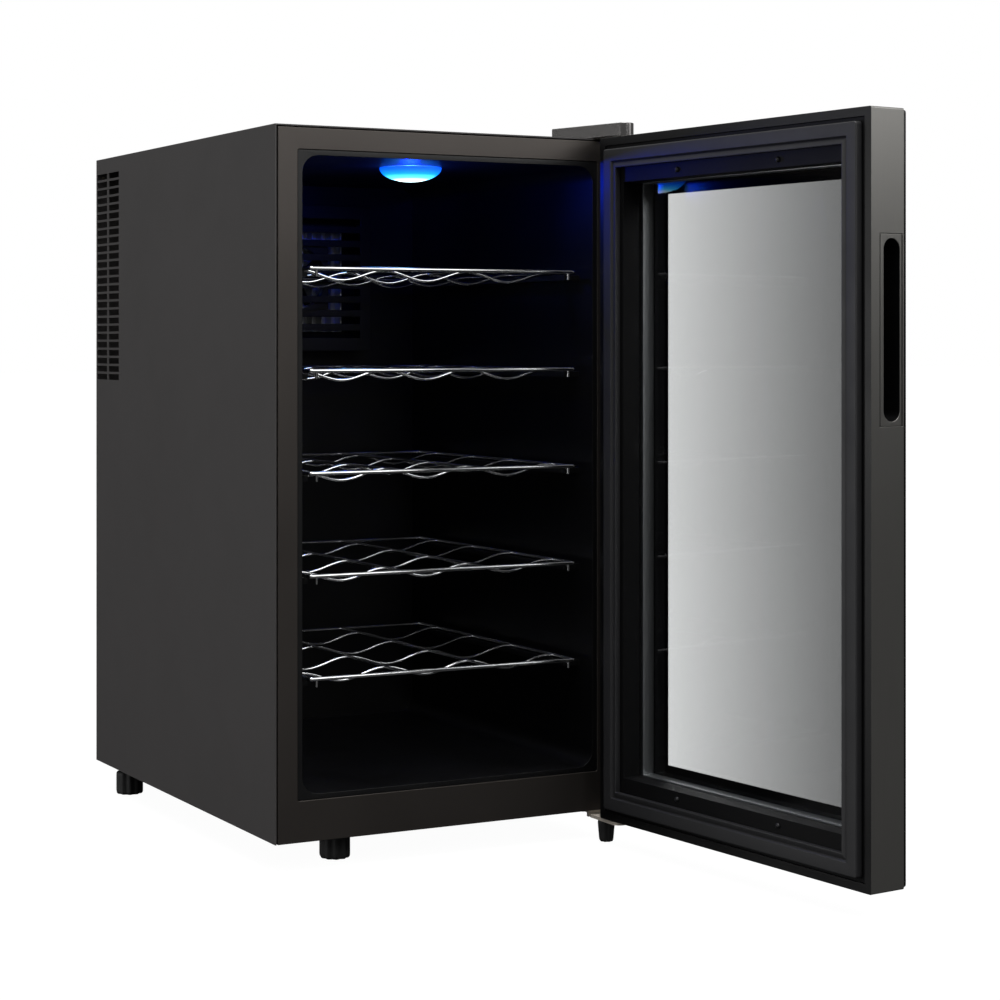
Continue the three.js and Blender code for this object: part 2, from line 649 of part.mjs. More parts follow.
const wireSection = (radius) => new THREE.Shape([0, 1, 2, 3].map((i) => {
  const a = ((i + 0.5) * Math.PI) / 2;
  return new THREE.Vector2(radius * Math.cos(a), radius * Math.sin(a));
}));

/** One shelf: outline, wavy rests, two lengthways wires and two stops under the front wire. */
function shelf(z) {
  const side = shelfHalf - SHELF_WIRE / 2;
  const radius = SHELF_WIRE / 2;
  const thin = CROSS_WIRE / 2;
  const length = shelfRear - shelfFront;
  let body = join(
    rod('x', [-shelfHalf, shelfFront, z], 2 * shelfHalf, radius, radius, 6),
    rod('x', [-shelfHalf, shelfRear, z], 2 * shelfHalf, radius, radius, 6),
    rod('y', [-side, shelfFront, z], length, radius, radius, 5),
    rod('y', [side, shelfFront, z], length, radius, radius, 5),
  );
  for (const x of [-bottlePitch / 2, bottlePitch / 2]) {
    body = body.add(rod('y', [x, shelfFront, z + LENGTH_WIRE_UP], length, thin, thin, 4));
  }
  for (const x of [-1.5 * bottlePitch, 1.5 * bottlePitch]) {
    body = body.add(rod('z', [x, shelfFront + 0.2, z - STOP_DROP], STOP_DROP, thin, thin, 4));
  }
  for (let i = 0; i < CROSS_COUNT; i += 1) {
    const y = shelfFront + ((i + 0.5) * length) / CROSS_COUNT;
    const path = new WavyWire(side, y, z);
    const options = { steps: 12, extrudePath: path, bevelEnabled: false };
    body = body.add(solid(new THREE.ExtrudeGeometry(wireSection(thin), options)));
  }
  return body;
}

// ---- hinges and feet -------------------------------------------------------------------------------
const coverRear = { x0: halfW - 39, x1: halfW - 1.4, y: front + 52.5 };
const coverNose = { x: pinX - 0.9, y: pinY - 1.5, radius: 8.5 };

/** Plan of the hinge cover, drawn in by an inset on every side. */
function coverOutline(inset) {
  const corner = new THREE.Vector2(coverRear.x0 + 1.2 * inset, coverRear.y - inset);
  const nose = new THREE.Vector2(coverNose.x, coverNose.y);
  const radius = coverNose.radius - inset;
  const toCorner = corner.clone().sub(nose);
  const start = toCorner.angle() + Math.acos(radius / toCorner.length());
  const shape = new THREE.Shape();
  shape.moveTo(corner.x, corner.y);
  shape.lineTo(nose.x + radius * Math.cos(start), nose.y + radius * Math.sin(start));
  shape.absarc(nose.x, nose.y, radius, start, 2 * Math.PI);
  shape.lineTo(coverRear.x1 - inset, corner.y);
  return shape;
}

const topPlateZ = HEIGHT + GAP;

function topHingeBracket() {
  let plate = lying(coverOutline(COVER_WALL + 1), topPlateZ, topPlateZ + BRACKET, 8);
  for (const [x, y] of topScrews()) {
    const hole = SCREW_RADIUS + GAP;
    plate = plate.subtract(rod('z', [x, y, topPlateZ - 1], BRACKET + 2, hole, hole, 8));
  }
  const hole = PIN_RADIUS + GAP;
  return plate.subtract(rod('z', [pinX, pinY, topPlateZ - 1], BRACKET + 2, hole, hole, 14));
}

function topHingeCover() {
  return cut(
    lying(coverOutline(0), topPlateZ, topPlateZ + COVER_HEIGHT, 8),
    lying(coverOutline(COVER_WALL), topPlateZ - 1, topPlateZ + COVER_HEIGHT - COVER_WALL, 8),
  );
}

const headZ = topPlateZ + BRACKET + GAP;
const topPin = () => join(
  rod('z', [pinX, pinY, DOOR_TOP - PIN_DEPTH], headZ - DOOR_TOP + PIN_DEPTH + 0.5, PIN_RADIUS, PIN_RADIUS, 14),
  rod('z', [pinX, pinY, headZ], PIN_HEAD, PIN_HEAD_RADIUS, PIN_HEAD_RADIUS, 14),
);

const lowPlateTop = DOOR_BOTTOM - 1.05; // under the door
const lowFlangeTop = -GAP; // under the base panel

/** Plate bent down under the door, screwed to the base, holding the lower pin and the small foot. */
function bottomHingeBracket() {
  const [x0, x1] = [pinX - BRACKET_LEFT, pinX + BRACKET_RIGHT];
  const bend = frameBack - 1;
  let plate = join(
    box(x0, x1, bend, frameBack + 28, lowFlangeTop - BRACKET, lowFlangeTop),
    box(x0, x1, bend - BRACKET, bend + 0.1, lowPlateTop - BRACKET, lowFlangeTop),
    lying(roundRect(x0, x1, pinY - 14, bend, 8), lowPlateTop - BRACKET, lowPlateTop, 3),
  );
  for (const [x, y] of bottomScrews()) {
    const start = [x, y, lowFlangeTop - BRACKET - 1];
    plate = plate.subtract(rod('z', start, BRACKET + 2, SCREW_RADIUS + GAP, SCREW_RADIUS + GAP, 8));
  }
  const hole = (x, y, radius) =>
    rod('z', [x, y, lowPlateTop - BRACKET - 1], BRACKET + 2, radius + GAP, radius + GAP, 14);
  return cut(plate, hole(pinX, pinY, PIN_RADIUS), hole(...smallFoot, PIN_RADIUS));
}

const bottomPin = () => join(
  rod('z', [pinX, pinY, lowPlateTop - BRACKET - GAP - PIN_HEAD], PIN_HEAD, PIN_HEAD_RADIUS, PIN_HEAD_RADIUS, 14),
  rod('z', [pinX, pinY, lowPlateTop - BRACKET - GAP - 0.5],
    DOOR_BOTTOM + PIN_DEPTH - lowPlateTop + BRACKET + GAP + 0.5, PIN_RADIUS, PIN_RADIUS, 14),
);

/** Screw along an axis: the head's seat at a point, the shank running in the direction dir. */
function screw(axis, at, dir, length, headRadius = SCREW_HEAD_RADIUS) {
  const index = { x: 0, y: 1, z: 2 }[axis];
  const shift = (distance) => at.map((value, i) => (i === index ? value + distance : value));
  const shankStart = dir > 0 ? shift(-0.5) : shift(-length);
  const headStart = dir > 0 ? shift(-SCREW_HEAD) : at;
  return join(
    rod(axis, shankStart, length + 0.5, SCREW_RADIUS, SCREW_RADIUS, 6),
    rod(axis, headStart, SCREW_HEAD, headRadius, headRadius, 10),
  );
}

/** Fluted levelling foot on a threaded stud. */
function levellingFoot(x, y) {
  const points = [];
  for (let i = 0; i < FOOT_FLUTES * 3; i += 1) {
    const a = (i * 2 * Math.PI) / (FOOT_FLUTES * 3);
    const radius = FOOT_RADIUS - (FOOT_FLUTE_DEPTH * (1 - Math.cos(a * FOOT_FLUTES))) / 2;
    points.push(new THREE.Vector2(radius * Math.cos(a), radius * Math.sin(a)));
  }
  const grip = lying(new THREE.Shape(points), FLOOR + 3, -4).translate([x, y, 0]);
  return join(grip,
    rod('z', [x, y, FLOOR], 3.5, FOOT_RADIUS - 2.4, FOOT_RADIUS - 1.2, 24),
    rod('z', [x, y, -4.5], STUD_UP + 4.5, STUD_RADIUS, STUD_RADIUS, 16));
}

/** Small tapered foot screwed into the lower hinge bracket. */
function hingeFoot() {
  const top = lowPlateTop - BRACKET - GAP;
  const at = (z) => [...smallFoot, z];
  return join(
    rod('z', at(FLOOR), top - FLOOR, SMALL_FOOT_BOTTOM, SMALL_FOOT_TOP, 24),
    rod('z', at(top - 0.5), BRACKET + GAP + 0.5, PIN_RADIUS, PIN_RADIUS, 16),
  );
}

// ---- door, drawn shut about its pin -----------------------------------------------------------------
const free = PIN_FROM_SIDE - WIDTH; // free edge of the door from the pin
const hinge = PIN_FROM_SIDE;
const rim = PIN_FROM_RIM;
const deep = (d) => rim - d; // a distance behind the rim plane, towards the outer glass
const panes = { back: INNER_GLASS_DEPTH, front: DOOR_THICK - GLASS };
const middleX = (free + hinge) / 2;

/** A rectangle drawn in from the door's outline: by side from both edges, by end from top and bottom. */
const inDoor = (side, end, radius = 0.5) =>
  roundRect(free + side, hinge - side, DOOR_BOTTOM + end, DOOR_TOP - end, radius);
const slab = (side, end, d0, d1, radius) => standing(inDoor(side, end, radius), deep(d1), deep(d0));

const cupSpace = (clearance) => box(
  free - 1, free + CUP_INTO + clearance, deep(CUP_DEEP) - clearance, deep(CUP_SHALLOW) + CUP_NEAR_GAP,
  CUP_MIDDLE - CUP_LENGTH / 2 - clearance, CUP_MIDDLE + CUP_LENGTH / 2 + clearance,
);

const webBack = panes.front - GAP;

/** Extruded frame with a web behind the glass, drilled for the bushes and cut for the grip. */
function doorFrame() {
  const bore = (z) => rod('z', [0, 0, z], DOOR_WALL + 1, BUSH_RADIUS + GAP, BUSH_RADIUS + GAP, 14);
  return cut(
    slab(0, 0, 0, webBack, 1.5),
    slab(DOOR_WALL, DOOR_WALL, -1, webBack - WEB_THICK),
    slab(DOOR_WEB, DOOR_WEB, 0, DOOR_THICK),
    bore(DOOR_TOP - DOOR_WALL - 0.5), bore(DOOR_BOTTOM - 0.5), cupSpace(GAP),
  );
}

const rabbet = { side: INNER_FRAME_SIDE - INNER_GLASS_LAP, end: INNER_FRAME_END - INNER_GLASS_LAP };
const gasketGroove = GASKET_OUT + (GASKET_WIDTH - GASKET_ROOT) / 2;
const frameFace = 1; // inner frame's face behind the rim

/** Moulded ring that holds the inner pane, with a groove for the gasket. */
function doorInnerFrame() {
  const grooveRing = cut(
    slab(gasketGroove - GAP, gasketGroove - GAP, 0, frameFace + GASKET_ROOT_DEPTH + GAP),
    slab(gasketGroove + GASKET_ROOT + GAP, gasketGroove + GASKET_ROOT + GAP, -1, 20),
  );
  return cut(
    slab(DOOR_WALL + GAP, DOOR_WALL + GAP, frameFace, webBack - WEB_THICK - GAP),
    slab(INNER_FRAME_SIDE, INNER_FRAME_END, -1, DOOR_THICK),
    slab(rabbet.side - GAP, rabbet.end - GAP, panes.back - GAP, DOOR_THICK),
    grooveRing,
    cupSpace(GAP),
    ...railScrews().map(([x, z]) =>
      rod('y', [x, deep(16), z], 20, SCREW_RADIUS + GAP, SCREW_RADIUS + GAP, 10)),
  );
}

const railScrewInset = (GASKET_OUT + GASKET_WIDTH + INNER_FRAME_END) / 2;
const RAIL_SCREW_X = 65; // from the middle of the rail
const railScrews = () => [-RAIL_SCREW_X, RAIL_SCREW_X].flatMap((x) => [
  [middleX + x, DOOR_TOP - railScrewInset], [middleX + x, DOOR_BOTTOM + railScrewInset],
]);

const innerGlass = () => slab(rabbet.side, rabbet.end, panes.back, panes.back + GLASS);
const glassSpacer = () => cut(
  slab(rabbet.side, rabbet.end, panes.back + GLASS + GAP, panes.front - GAP),
  slab(rabbet.side + SPACER_WIDTH, rabbet.end + SPACER_WIDTH, 0, DOOR_THICK),
);
const PANE_CORNER = 2.5;
const outerGlass = () => slab(GLASS_INSET, GLASS_INSET, panes.front, DOOR_THICK, PANE_CORNER);

/** Magnetic gasket: a lip round the opening and the root pressed into the frame's groove. */
function doorGasket() {
  const inner = GASKET_OUT + GASKET_WIDTH;
  const lip = cut(
    slab(GASKET_OUT, GASKET_OUT, -GASKET_PROUD, frameFace - GAP),
    slab(inner, inner, -GASKET_PROUD - 1, DOOR_THICK),
  );
  const root_ = cut(
    slab(gasketGroove, gasketGroove, 0, frameFace + GASKET_ROOT_DEPTH),
    slab(gasketGroove + GASKET_ROOT, gasketGroove + GASKET_ROOT, -1, DOOR_THICK),
  );
  return lip.add(root_);
}

/** Finger grip let into the free edge. */
function handleCup() {
  const z = [CUP_MIDDLE - GRIP_LENGTH / 2, CUP_MIDDLE + GRIP_LENGTH / 2];
  const y = deep(GRIP_MIDDLE);
  const recess = new THREE.ExtrudeGeometry(
    roundRect(y - GRIP_WIDTH / 2, y + GRIP_WIDTH / 2, z[0], z[1], GRIP_WIDTH / 2 - 0.01), flat(GRIP_DEEP + 1, 6));
  recess.rotateX(Math.PI / 2);
  recess.rotateZ(Math.PI / 2);
  recess.translate(free - 0.4, 0, 0);
  const body = box(free + 0.6, free + CUP_INTO, deep(CUP_DEEP), deep(CUP_SHALLOW),
    CUP_MIDDLE - CUP_LENGTH / 2, CUP_MIDDLE + CUP_LENGTH / 2);
  return body.subtract(solid(recess));
}

const bush = (z) => cut(
  rod('z', [0, 0, z], DOOR_WALL, BUSH_RADIUS, BUSH_RADIUS, 14),
  rod('z', [0, 0, z - 1], DOOR_WALL + 2, PIN_RADIUS + BUSH_CLEARANCE, PIN_RADIUS + BUSH_CLEARANCE, 14),
);

/** Thin board with a two-digit display and touch pads, behind the border of the outer pane. */
function touchBoard() {
  const z = DOOR_TOP - DOOR_WEB - 2;
  return join(
    box(middleX - 55, middleX + 55, deep(webBack), deep(webBack - 1.6), z - 16, z),
    box(middleX - 14, middleX + 14, deep(webBack - 1), deep(webBack - 3.2), z - 14, z - 2),
  );
}

// ---- assembly --------------------------------------------------------------------------------------
place('outer_shell', outerShell(), paintedSteel);
place('front_frame', frontFrame(), frameFinish);
place('inner_liner', innerLiner(), blackPlastic);
place('foam_insulation', foamInsulation(), foamFinish);
place('base_panel', basePanel(), paintedSteel);
place('rear_bulkhead', rearBulkhead(), zincSteel);
place('rear_panel', rearPanel(), paintedSteel);
place('rear_fan_guard', fanGuard(), blackPlastic);
place('cold_block', moduleSlab(blockY, COLD_BLOCK_LENGTH), aluminium);
place('peltier_module', moduleSlab(moduleY, MODULE_THICK), ceramicWhite);
place('cold_side_heatsink', heatSink(COLD_SINK, coldSinkBack, -1), aluminium);
place('hot_side_heatsink', heatSink(HOT_SINK, hotSinkY, 1), aluminium);
place('cold_fan_frame', fanFrame(COLD_FAN, coldFanY), blackPlastic);
place('cold_fan_rotor', fanRotor(COLD_FAN, coldFanY), blackPlastic);
place('hot_fan_frame', fanFrame(HOT_FAN, hotFanY), blackPlastic);
place('hot_fan_rotor', fanRotor(HOT_FAN, hotFanY), blackPlastic);
place('inner_fan_cover', innerFanCover(), blackPlastic);
place('power_supply_case', powerSupply(), zincSteel);
place('control_board', controlBoard(), boardGreen);
place('inlet_socket', inletSocket(), blackPlastic);
place('lamp_lens', lampLens(), lampBlue);
place('led_board', ledBoard(), ceramicWhite);
for (let i = 0; i < SHELF_COUNT; i += 1) place(`shelf_${i + 1}`, shelf(shelfZ(i)), chromeWire);

place('foot_front_left', levellingFoot(FOOT_FRONT_X, FOOT_FRONT_Y), footRubber);
place('foot_rear_left', levellingFoot(-FOOT_X, FOOT_REAR_Y), footRubber);
place('foot_rear_right', levellingFoot(FOOT_X, FOOT_REAR_Y), footRubber);
place('foot_front_right', hingeFoot(), footRubber);
place('top_hinge_bracket', topHingeBracket(), zincSteel);
place('top_hinge_pin', topPin(), zincSteel);
place('top_hinge_cover', topHingeCover(), satinSteel);
place('bottom_hinge_bracket', bottomHingeBracket(), zincSteel);
place('bottom_hinge_pin', bottomPin(), zincSteel);
topScrews().forEach(([x, y], i) => {
  place(`top_hinge_screw_${i + 1}`, screw('z', [x, y, topPlateZ + BRACKET + GAP], -1, 10), zincSteel);
});
bottomScrews().forEach(([x, y], i) => {
  place(`bottom_hinge_screw_${i + 1}`, screw('z', [x, y, lowFlangeTop - BRACKET - GAP], 1, 10), zincSteel);
});
[-1, 1].flatMap((side) => rearScrewHeights().map((z) => [side * rearScrewX(), z])).forEach(([x, z], i) => {
  place(`rear_screw_${i + 1}`, screw('y', [x, halfD + GAP, z], -1, 8), zincSteel);
});

const door = new THREE.Group();
door.position.set(pinX, pinY, 0);
door.rotation.z = THREE.MathUtils.degToRad(DOOR_ANGLE);
root.add(door);
place('door_frame', doorFrame(), satinSteel, door);
place('door_inner_frame', doorInnerFrame(), blackPlastic, door);
place('inner_glass', innerGlass(), darkGlass, door);
place('glass_spacer', glassSpacer(), zincSteel, door);
place('outer_glass', outerGlass(), darkGlass, door);
place('door_gasket', doorGasket(), gasketRubber, door);
place('handle_cup', handleCup(), blackPlastic, door);
place('door_bush_top', bush(DOOR_TOP - DOOR_WALL), ceramicWhite, door);
place('door_bush_bottom', bush(DOOR_BOTTOM), ceramicWhite, door);
place('touch_board', touchBoard(), boardGreen, door);
railScrews().forEach(([x, z], i) => {
  place(`rail_screw_${i + 1}`, screw('y', [x, deep(frameFace) + GAP, z], -1, 12, 2.5), blackSteel, door);
});

export default root;
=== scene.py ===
"""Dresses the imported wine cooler: finer copies of its pieces, their finishes, the stage and the camera."""
import json
import math

import bmesh
import bpy
import numpy as np
from mathutils import Matrix, Vector


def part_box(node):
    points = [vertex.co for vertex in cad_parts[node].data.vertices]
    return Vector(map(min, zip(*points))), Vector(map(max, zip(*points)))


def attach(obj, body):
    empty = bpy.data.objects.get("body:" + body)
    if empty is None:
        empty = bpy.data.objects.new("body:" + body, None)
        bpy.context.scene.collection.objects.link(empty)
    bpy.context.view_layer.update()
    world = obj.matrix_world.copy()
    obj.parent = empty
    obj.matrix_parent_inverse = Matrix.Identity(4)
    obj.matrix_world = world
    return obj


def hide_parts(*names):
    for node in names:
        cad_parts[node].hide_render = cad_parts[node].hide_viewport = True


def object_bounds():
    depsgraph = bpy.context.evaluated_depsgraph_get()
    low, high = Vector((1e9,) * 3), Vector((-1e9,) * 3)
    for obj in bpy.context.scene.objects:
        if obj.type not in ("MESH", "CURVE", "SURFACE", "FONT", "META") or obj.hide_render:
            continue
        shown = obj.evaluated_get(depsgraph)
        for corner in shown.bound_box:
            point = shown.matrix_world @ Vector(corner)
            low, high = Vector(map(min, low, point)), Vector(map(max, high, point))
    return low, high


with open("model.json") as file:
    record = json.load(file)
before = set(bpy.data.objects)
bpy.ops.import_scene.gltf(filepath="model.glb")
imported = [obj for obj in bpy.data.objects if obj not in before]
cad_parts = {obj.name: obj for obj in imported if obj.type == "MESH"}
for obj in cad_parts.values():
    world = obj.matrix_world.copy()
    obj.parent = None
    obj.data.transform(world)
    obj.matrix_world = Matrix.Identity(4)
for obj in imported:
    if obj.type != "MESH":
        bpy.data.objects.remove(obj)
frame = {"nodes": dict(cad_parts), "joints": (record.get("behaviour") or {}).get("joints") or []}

bl_info = {
    "name": "Wine Cooler",
    "version": (1, 0, 0),
    "blender": (4, 5, 0),
    "location": "3D View > Sidebar > Wine Cooler",
    "description": "Makes the visible surfaces of a glass-door wine cooler",
    "category": "Object",
}

CAD_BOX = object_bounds()
MM = 0.001
CABINET = "cabinet"
DOOR = "door"

# ---- places read from the frame ----
HINGE = next(joint for joint in frame["joints"] if joint["name"] == "door_hinge")
PIN = Vector(HINGE["pos_m"])
DOOR_ANGLE = -math.radians(HINGE["range_deg"][0])  # the door stands this far open at rest
SHELVES = sorted(name for name in frame["nodes"] if name.startswith("shelf_"))
TO_DOOR = Matrix.Rotation(-DOOR_ANGLE, 4, "Z") @ Matrix.Translation(-PIN)
FROM_DOOR = TO_DOOR.inverted()


def cad_mesh(node):
    """A merged copy of a CAD node's mesh, as a bmesh."""
    bm = bmesh.new()
    bm.from_mesh(frame["nodes"][node].data)
    bmesh.ops.remove_doubles(bm, verts=bm.verts, dist=0.01 * MM)
    return bm


def door_box(node):
    """Lowest and highest corner of a door piece, in the shut door's own axes about its pin."""
    points = [TO_DOOR @ v.co for v in frame["nodes"][node].data.vertices]
    low = Vector([min(p[i] for p in points) for i in range(3)])
    high = Vector([max(p[i] for p in points) for i in range(3)])
    return low, high


# ---- sizes and colours a user may change ----
def length(name, description, millimetres):
    return bpy.props.FloatProperty(
        name=name, description=description, default=millimetres * MM, min=0, unit="LENGTH", precision=5)


def colour(name, description, code):
    return bpy.props.FloatVectorProperty(
        name=name, description=description, default=linear(code), size=3, min=0, max=1, subtype="COLOR")


def linear(code):
    """An sRGB hex colour as linear red, green and blue."""
    values = [int(code[i:i + 2], 16) / 255 for i in (1, 3, 5)]
    return tuple(v / 12.92 if v <= 0.04045 else ((v + 0.055) / 1.055) ** 2.4 for v in values)


class CoolerSizes(bpy.types.PropertyGroup):
    """Edge roundings and small sizes that the finer pieces use."""
    sheet_edge: length("Sheet edge", "Rounding of folded sheet edges", 0.5)
    moulded_edge: length("Moulded edge", "Rounding of moulded plastic edges", 0.7)
    wire: length("Shelf wire", "Thickness of the wire round a shelf", 4.0)
    cross_wire: length("Cross wire", "Thickness of the wires that carry the bottles", 3.0)
    dip: length("Bottle rest", "How far a cross wire dips under a bottle", 9.0)
    pitch: length("Bottle spacing", "Middle to middle of two bottles", 86.0)
    border: length("Glass border", "Width of the printed border at the sides of the outer pane", 49.0)
    border_end: length("Border ends", "Height of the printed border above and below the window", 51.4)


class CoolerColours(bpy.types.PropertyGroup):
    """Colours of the visible finishes."""
    steel: colour("Cabinet", "Powder coat of the cabinet", "#403e3e")
    face: colour("Front frame", "Paint of the front frame", "#45413e")
    trim: colour("Door trim", "Satin metal round the door", "#747370")
    plastic: colour("Black plastic", "Liner and mouldings", "#050506")
    gasket: colour("Gasket", "Soft door seal", "#1d1d1f")
    lamp: colour("Lamp", "Light of the ceiling lamp", "#0a28ff")


# ---- meshes ----
def piece(name, bm, material, body, replaced=(), smooth=35):
    """Turns a bmesh into a shown piece on a body, standing for the CAD nodes it replaces."""
    mesh = bpy.data.meshes.new(name)
    bm.to_mesh(mesh)
    bm.free()
    obj = bpy.data.objects.new(name, mesh)
    bpy.context.scene.collection.objects.link(obj)
    for each in material if isinstance(material, (list, tuple)) else [material]:
        mesh.materials.append(each)
    for polygon in mesh.polygons:
        polygon.use_smooth = True
    mesh.set_sharp_from_angle(angle=math.radians(smooth))
    level_normals(obj)
    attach(obj, body)
    if replaced:
        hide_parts(*replaced)
    return obj


def level_normals(obj):
    """Weights the normals by area, so that flat faces stay flat beside their rounded edges."""
    modifier = obj.modifiers.new("weighted", "WEIGHTED_NORMAL")
    modifier.keep_sharp = True
    bpy.context.view_layer.update()
    levelled = obj.evaluated_get(bpy.context.evaluated_depsgraph_get())
    obj.data = bpy.data.meshes.new_from_object(levelled)
    obj.data.name = obj.name
    obj.modifiers.clear()


def soften(bm, width, segments=2, angle=30):
    """Rounds the sharp edges of a bmesh by a small width."""
    bmesh.ops.dissolve_limit(
        bm, angle_limit=math.radians(1), verts=bm.verts, edges=bm.edges, delimit={"NORMAL"})
    edges = [e for e in bm.edges if e.is_manifold and e.calc_face_angle(0) > math.radians(angle)]
    bmesh.ops.bevel(
        bm, geom=edges, offset=width, segments=segments, profile=0.5, affect="EDGES", clamp_overlap=True)
    bmesh.ops.triangulate(bm, faces=[f for f in bm.faces if len(f.verts) > 4])
    return bm


def finer(node, material, body, width, segments=2):
    """A copy of a CAD node with its edges rounded, in place of the node."""
    return piece(node + "_fine", soften(cad_mesh(node), width, segments), material, body, [node])


def ring(bm, loops):
    """Joins closed loops of points, one after the other, into a skin that closes on itself."""
    rows = [[bm.verts.new(point) for point in loop] for loop in loops]
    count = len(rows[0])
    for i, row in enumerate(rows):
        after = rows[(i + 1) % len(rows)]
        for k in range(count):
            n = (k + 1) % count
            bm.faces.new((row[k], row[n], after[n], after[k]))
    bmesh.ops.recalc_face_normals(bm, faces=bm.faces)
    return bm


def rounded_rectangle(x0, x1, z0, z1, radius, steps=6):
    """Points of an upright rectangle with round corners, the same number whatever its radius."""
    points = []
    corners = ((x1, z0, -90), (x1, z1, 0), (x0, z1, 90), (x0, z0, 180))
    for x, z, start in corners:
        cx = x - radius if x == x1 else x + radius
        cz = z - radius if z == z1 else z + radius
        for i in range(steps + 1):
            a = math.radians(start + 90 * i / steps)
            points.append((cx + radius * math.cos(a), cz + radius * math.sin(a)))
    return points


def turned(bm, profile, centre, steps=48):
    """Turns a profile of (radius, height) points, from axis to axis, about an upright axis."""
    rows = []
    for radius, height in profile:
        if radius < 1e-6:
            rows.append([bm.verts.new((centre[0], centre[1], height))])
            continue
        angles = (2 * math.pi * k / steps for k in range(steps))
        rows.append([bm.verts.new((centre[0] + radius * math.cos(a), centre[1] + radius * math.sin(a), height))
                     for a in angles])
    for low, high in zip(rows, rows[1:]):
        for k in range(steps):
            n = (k + 1) % steps
            corners = [low[k % len(low)], low[n % len(low)], high[n % len(high)], high[k % len(high)]]
            corners = [v for i, v in enumerate(corners) if v not in corners[:i]]
            if len(corners) > 2:
                bm.faces.new(corners)
    bmesh.ops.recalc_face_normals(bm, faces=bm.faces)
    return bm


# ---- node trees ----
MATH = "ShaderNodeMath"
COMBINE = "ShaderNodeCombineXYZ"
SEPARATE = "ShaderNodeSeparateXYZ"
LINE = "GeometryNodeCurvePrimitiveLine"
ROW = "GeometryNodeMeshLine"
CUBE = "GeometryNodeMeshCube"
CYLINDER = "GeometryNodeMeshCylinder"
SHIFT = "GeometryNodeTransform"
JOIN = "GeometryNodeJoinGeometry"


def add(tree, kind, sockets=None, **settings):
    """Adds a node with its settings, and sets or links its sockets. A node stands for its first
    output, and a list links each of its members to the same socket."""
    node = tree.nodes.new(kind)
    for key, value in settings.items():
        setattr(node, key, value)
    for key, value in (sockets or {}).items():
        for each in value if isinstance(value, list) else [value]:
            source = each.outputs[0] if isinstance(each, bpy.types.Node) else each
            if isinstance(source, bpy.types.NodeSocket):
                tree.links.new(source, node.inputs[key])
            else:
                node.inputs[key].default_value = source
    return node


def material(name):
    """An empty node material and its tree."""
    made = bpy.data.materials.new(name)
    made.use_nodes = True
    made.node_tree.nodes.clear()
    return made, made.node_tree


def surfaced(made, shader):
    """Ends a material in its output."""
    add(made.node_tree, "ShaderNodeOutputMaterial", {"Surface": shader})
    return made


def rgba(colour_value, gain=1.0):
    return tuple(min(1.0, c * gain) for c in colour_value) + (1.0,)


def spacing(millimetres):
    """The scale of a texture whose features lie this far apart."""
    return 1 / (millimetres * MM)


def varied(tree, place, base, millimetres, spread):
    """A colour that drifts a little lighter and darker over patches of a given size."""
    noise = add(tree, "ShaderNodeTexNoise", {"Vector": place, "Scale": spacing(millimetres), "Detail": 3.0})
    ramp = add(tree, "ShaderNodeValToRGB", {"Fac": noise.outputs["Fac"]})
    ramp.color_ramp.elements[0].color = rgba(base, 1 - spread)
    ramp.color_ramp.elements[1].color = rgba(base, 1 + spread)
    ramp.color_ramp.elements[0].position = 0.3
    ramp.color_ramp.elements[1].position = 0.7
    return ramp.outputs["Color"]


def bumped(tree, place, millimetres, depth_mm):
    """A normal with a fine grain: spacing and height in millimetres."""
    noise = add(tree, "ShaderNodeTexNoise", {"Vector": place, "Scale": spacing(millimetres), "Detail": 2.0})
    bump = add(tree, "ShaderNodeBump", {
        "Height": noise.outputs["Fac"], "Distance": depth_mm * MM, "Strength": 1.0})
    return bump.outputs["Normal"]


def rough_between(tree, place, millimetres, low, high):
    """A roughness that drifts between two values."""
    noise = add(tree, "ShaderNodeTexNoise", {"Vector": place, "Scale": spacing(millimetres), "Detail": 2.0})
    span = add(tree, "ShaderNodeMapRange", {
        "Value": noise.outputs["Fac"], "From Min": 0.3, "From Max": 0.7, "To Min": low, "To Max": high})
    return span.outputs["Result"]


def grained(name, base, grain_mm, depth_mm, rough, drift_mm=60, spread=0.06, **sockets):
    """A Principled material with a fine moulded or sprayed grain."""
    made, tree = material(name)
    place = add(tree, "ShaderNodeTexCoord").outputs["Object"]
    settings = {
        "Base Color": varied(tree, place, base, drift_mm, spread),
        "Roughness": rough_between(tree, place, drift_mm * 0.7, *rough),
        "Normal": bumped(tree, place, grain_mm, depth_mm),
    }
    settings.update({key.replace("_", " "): value for key, value in sockets.items()})
    shader = add(tree, "ShaderNodeBsdfPrincipled", settings)
    return surfaced(made, shader)


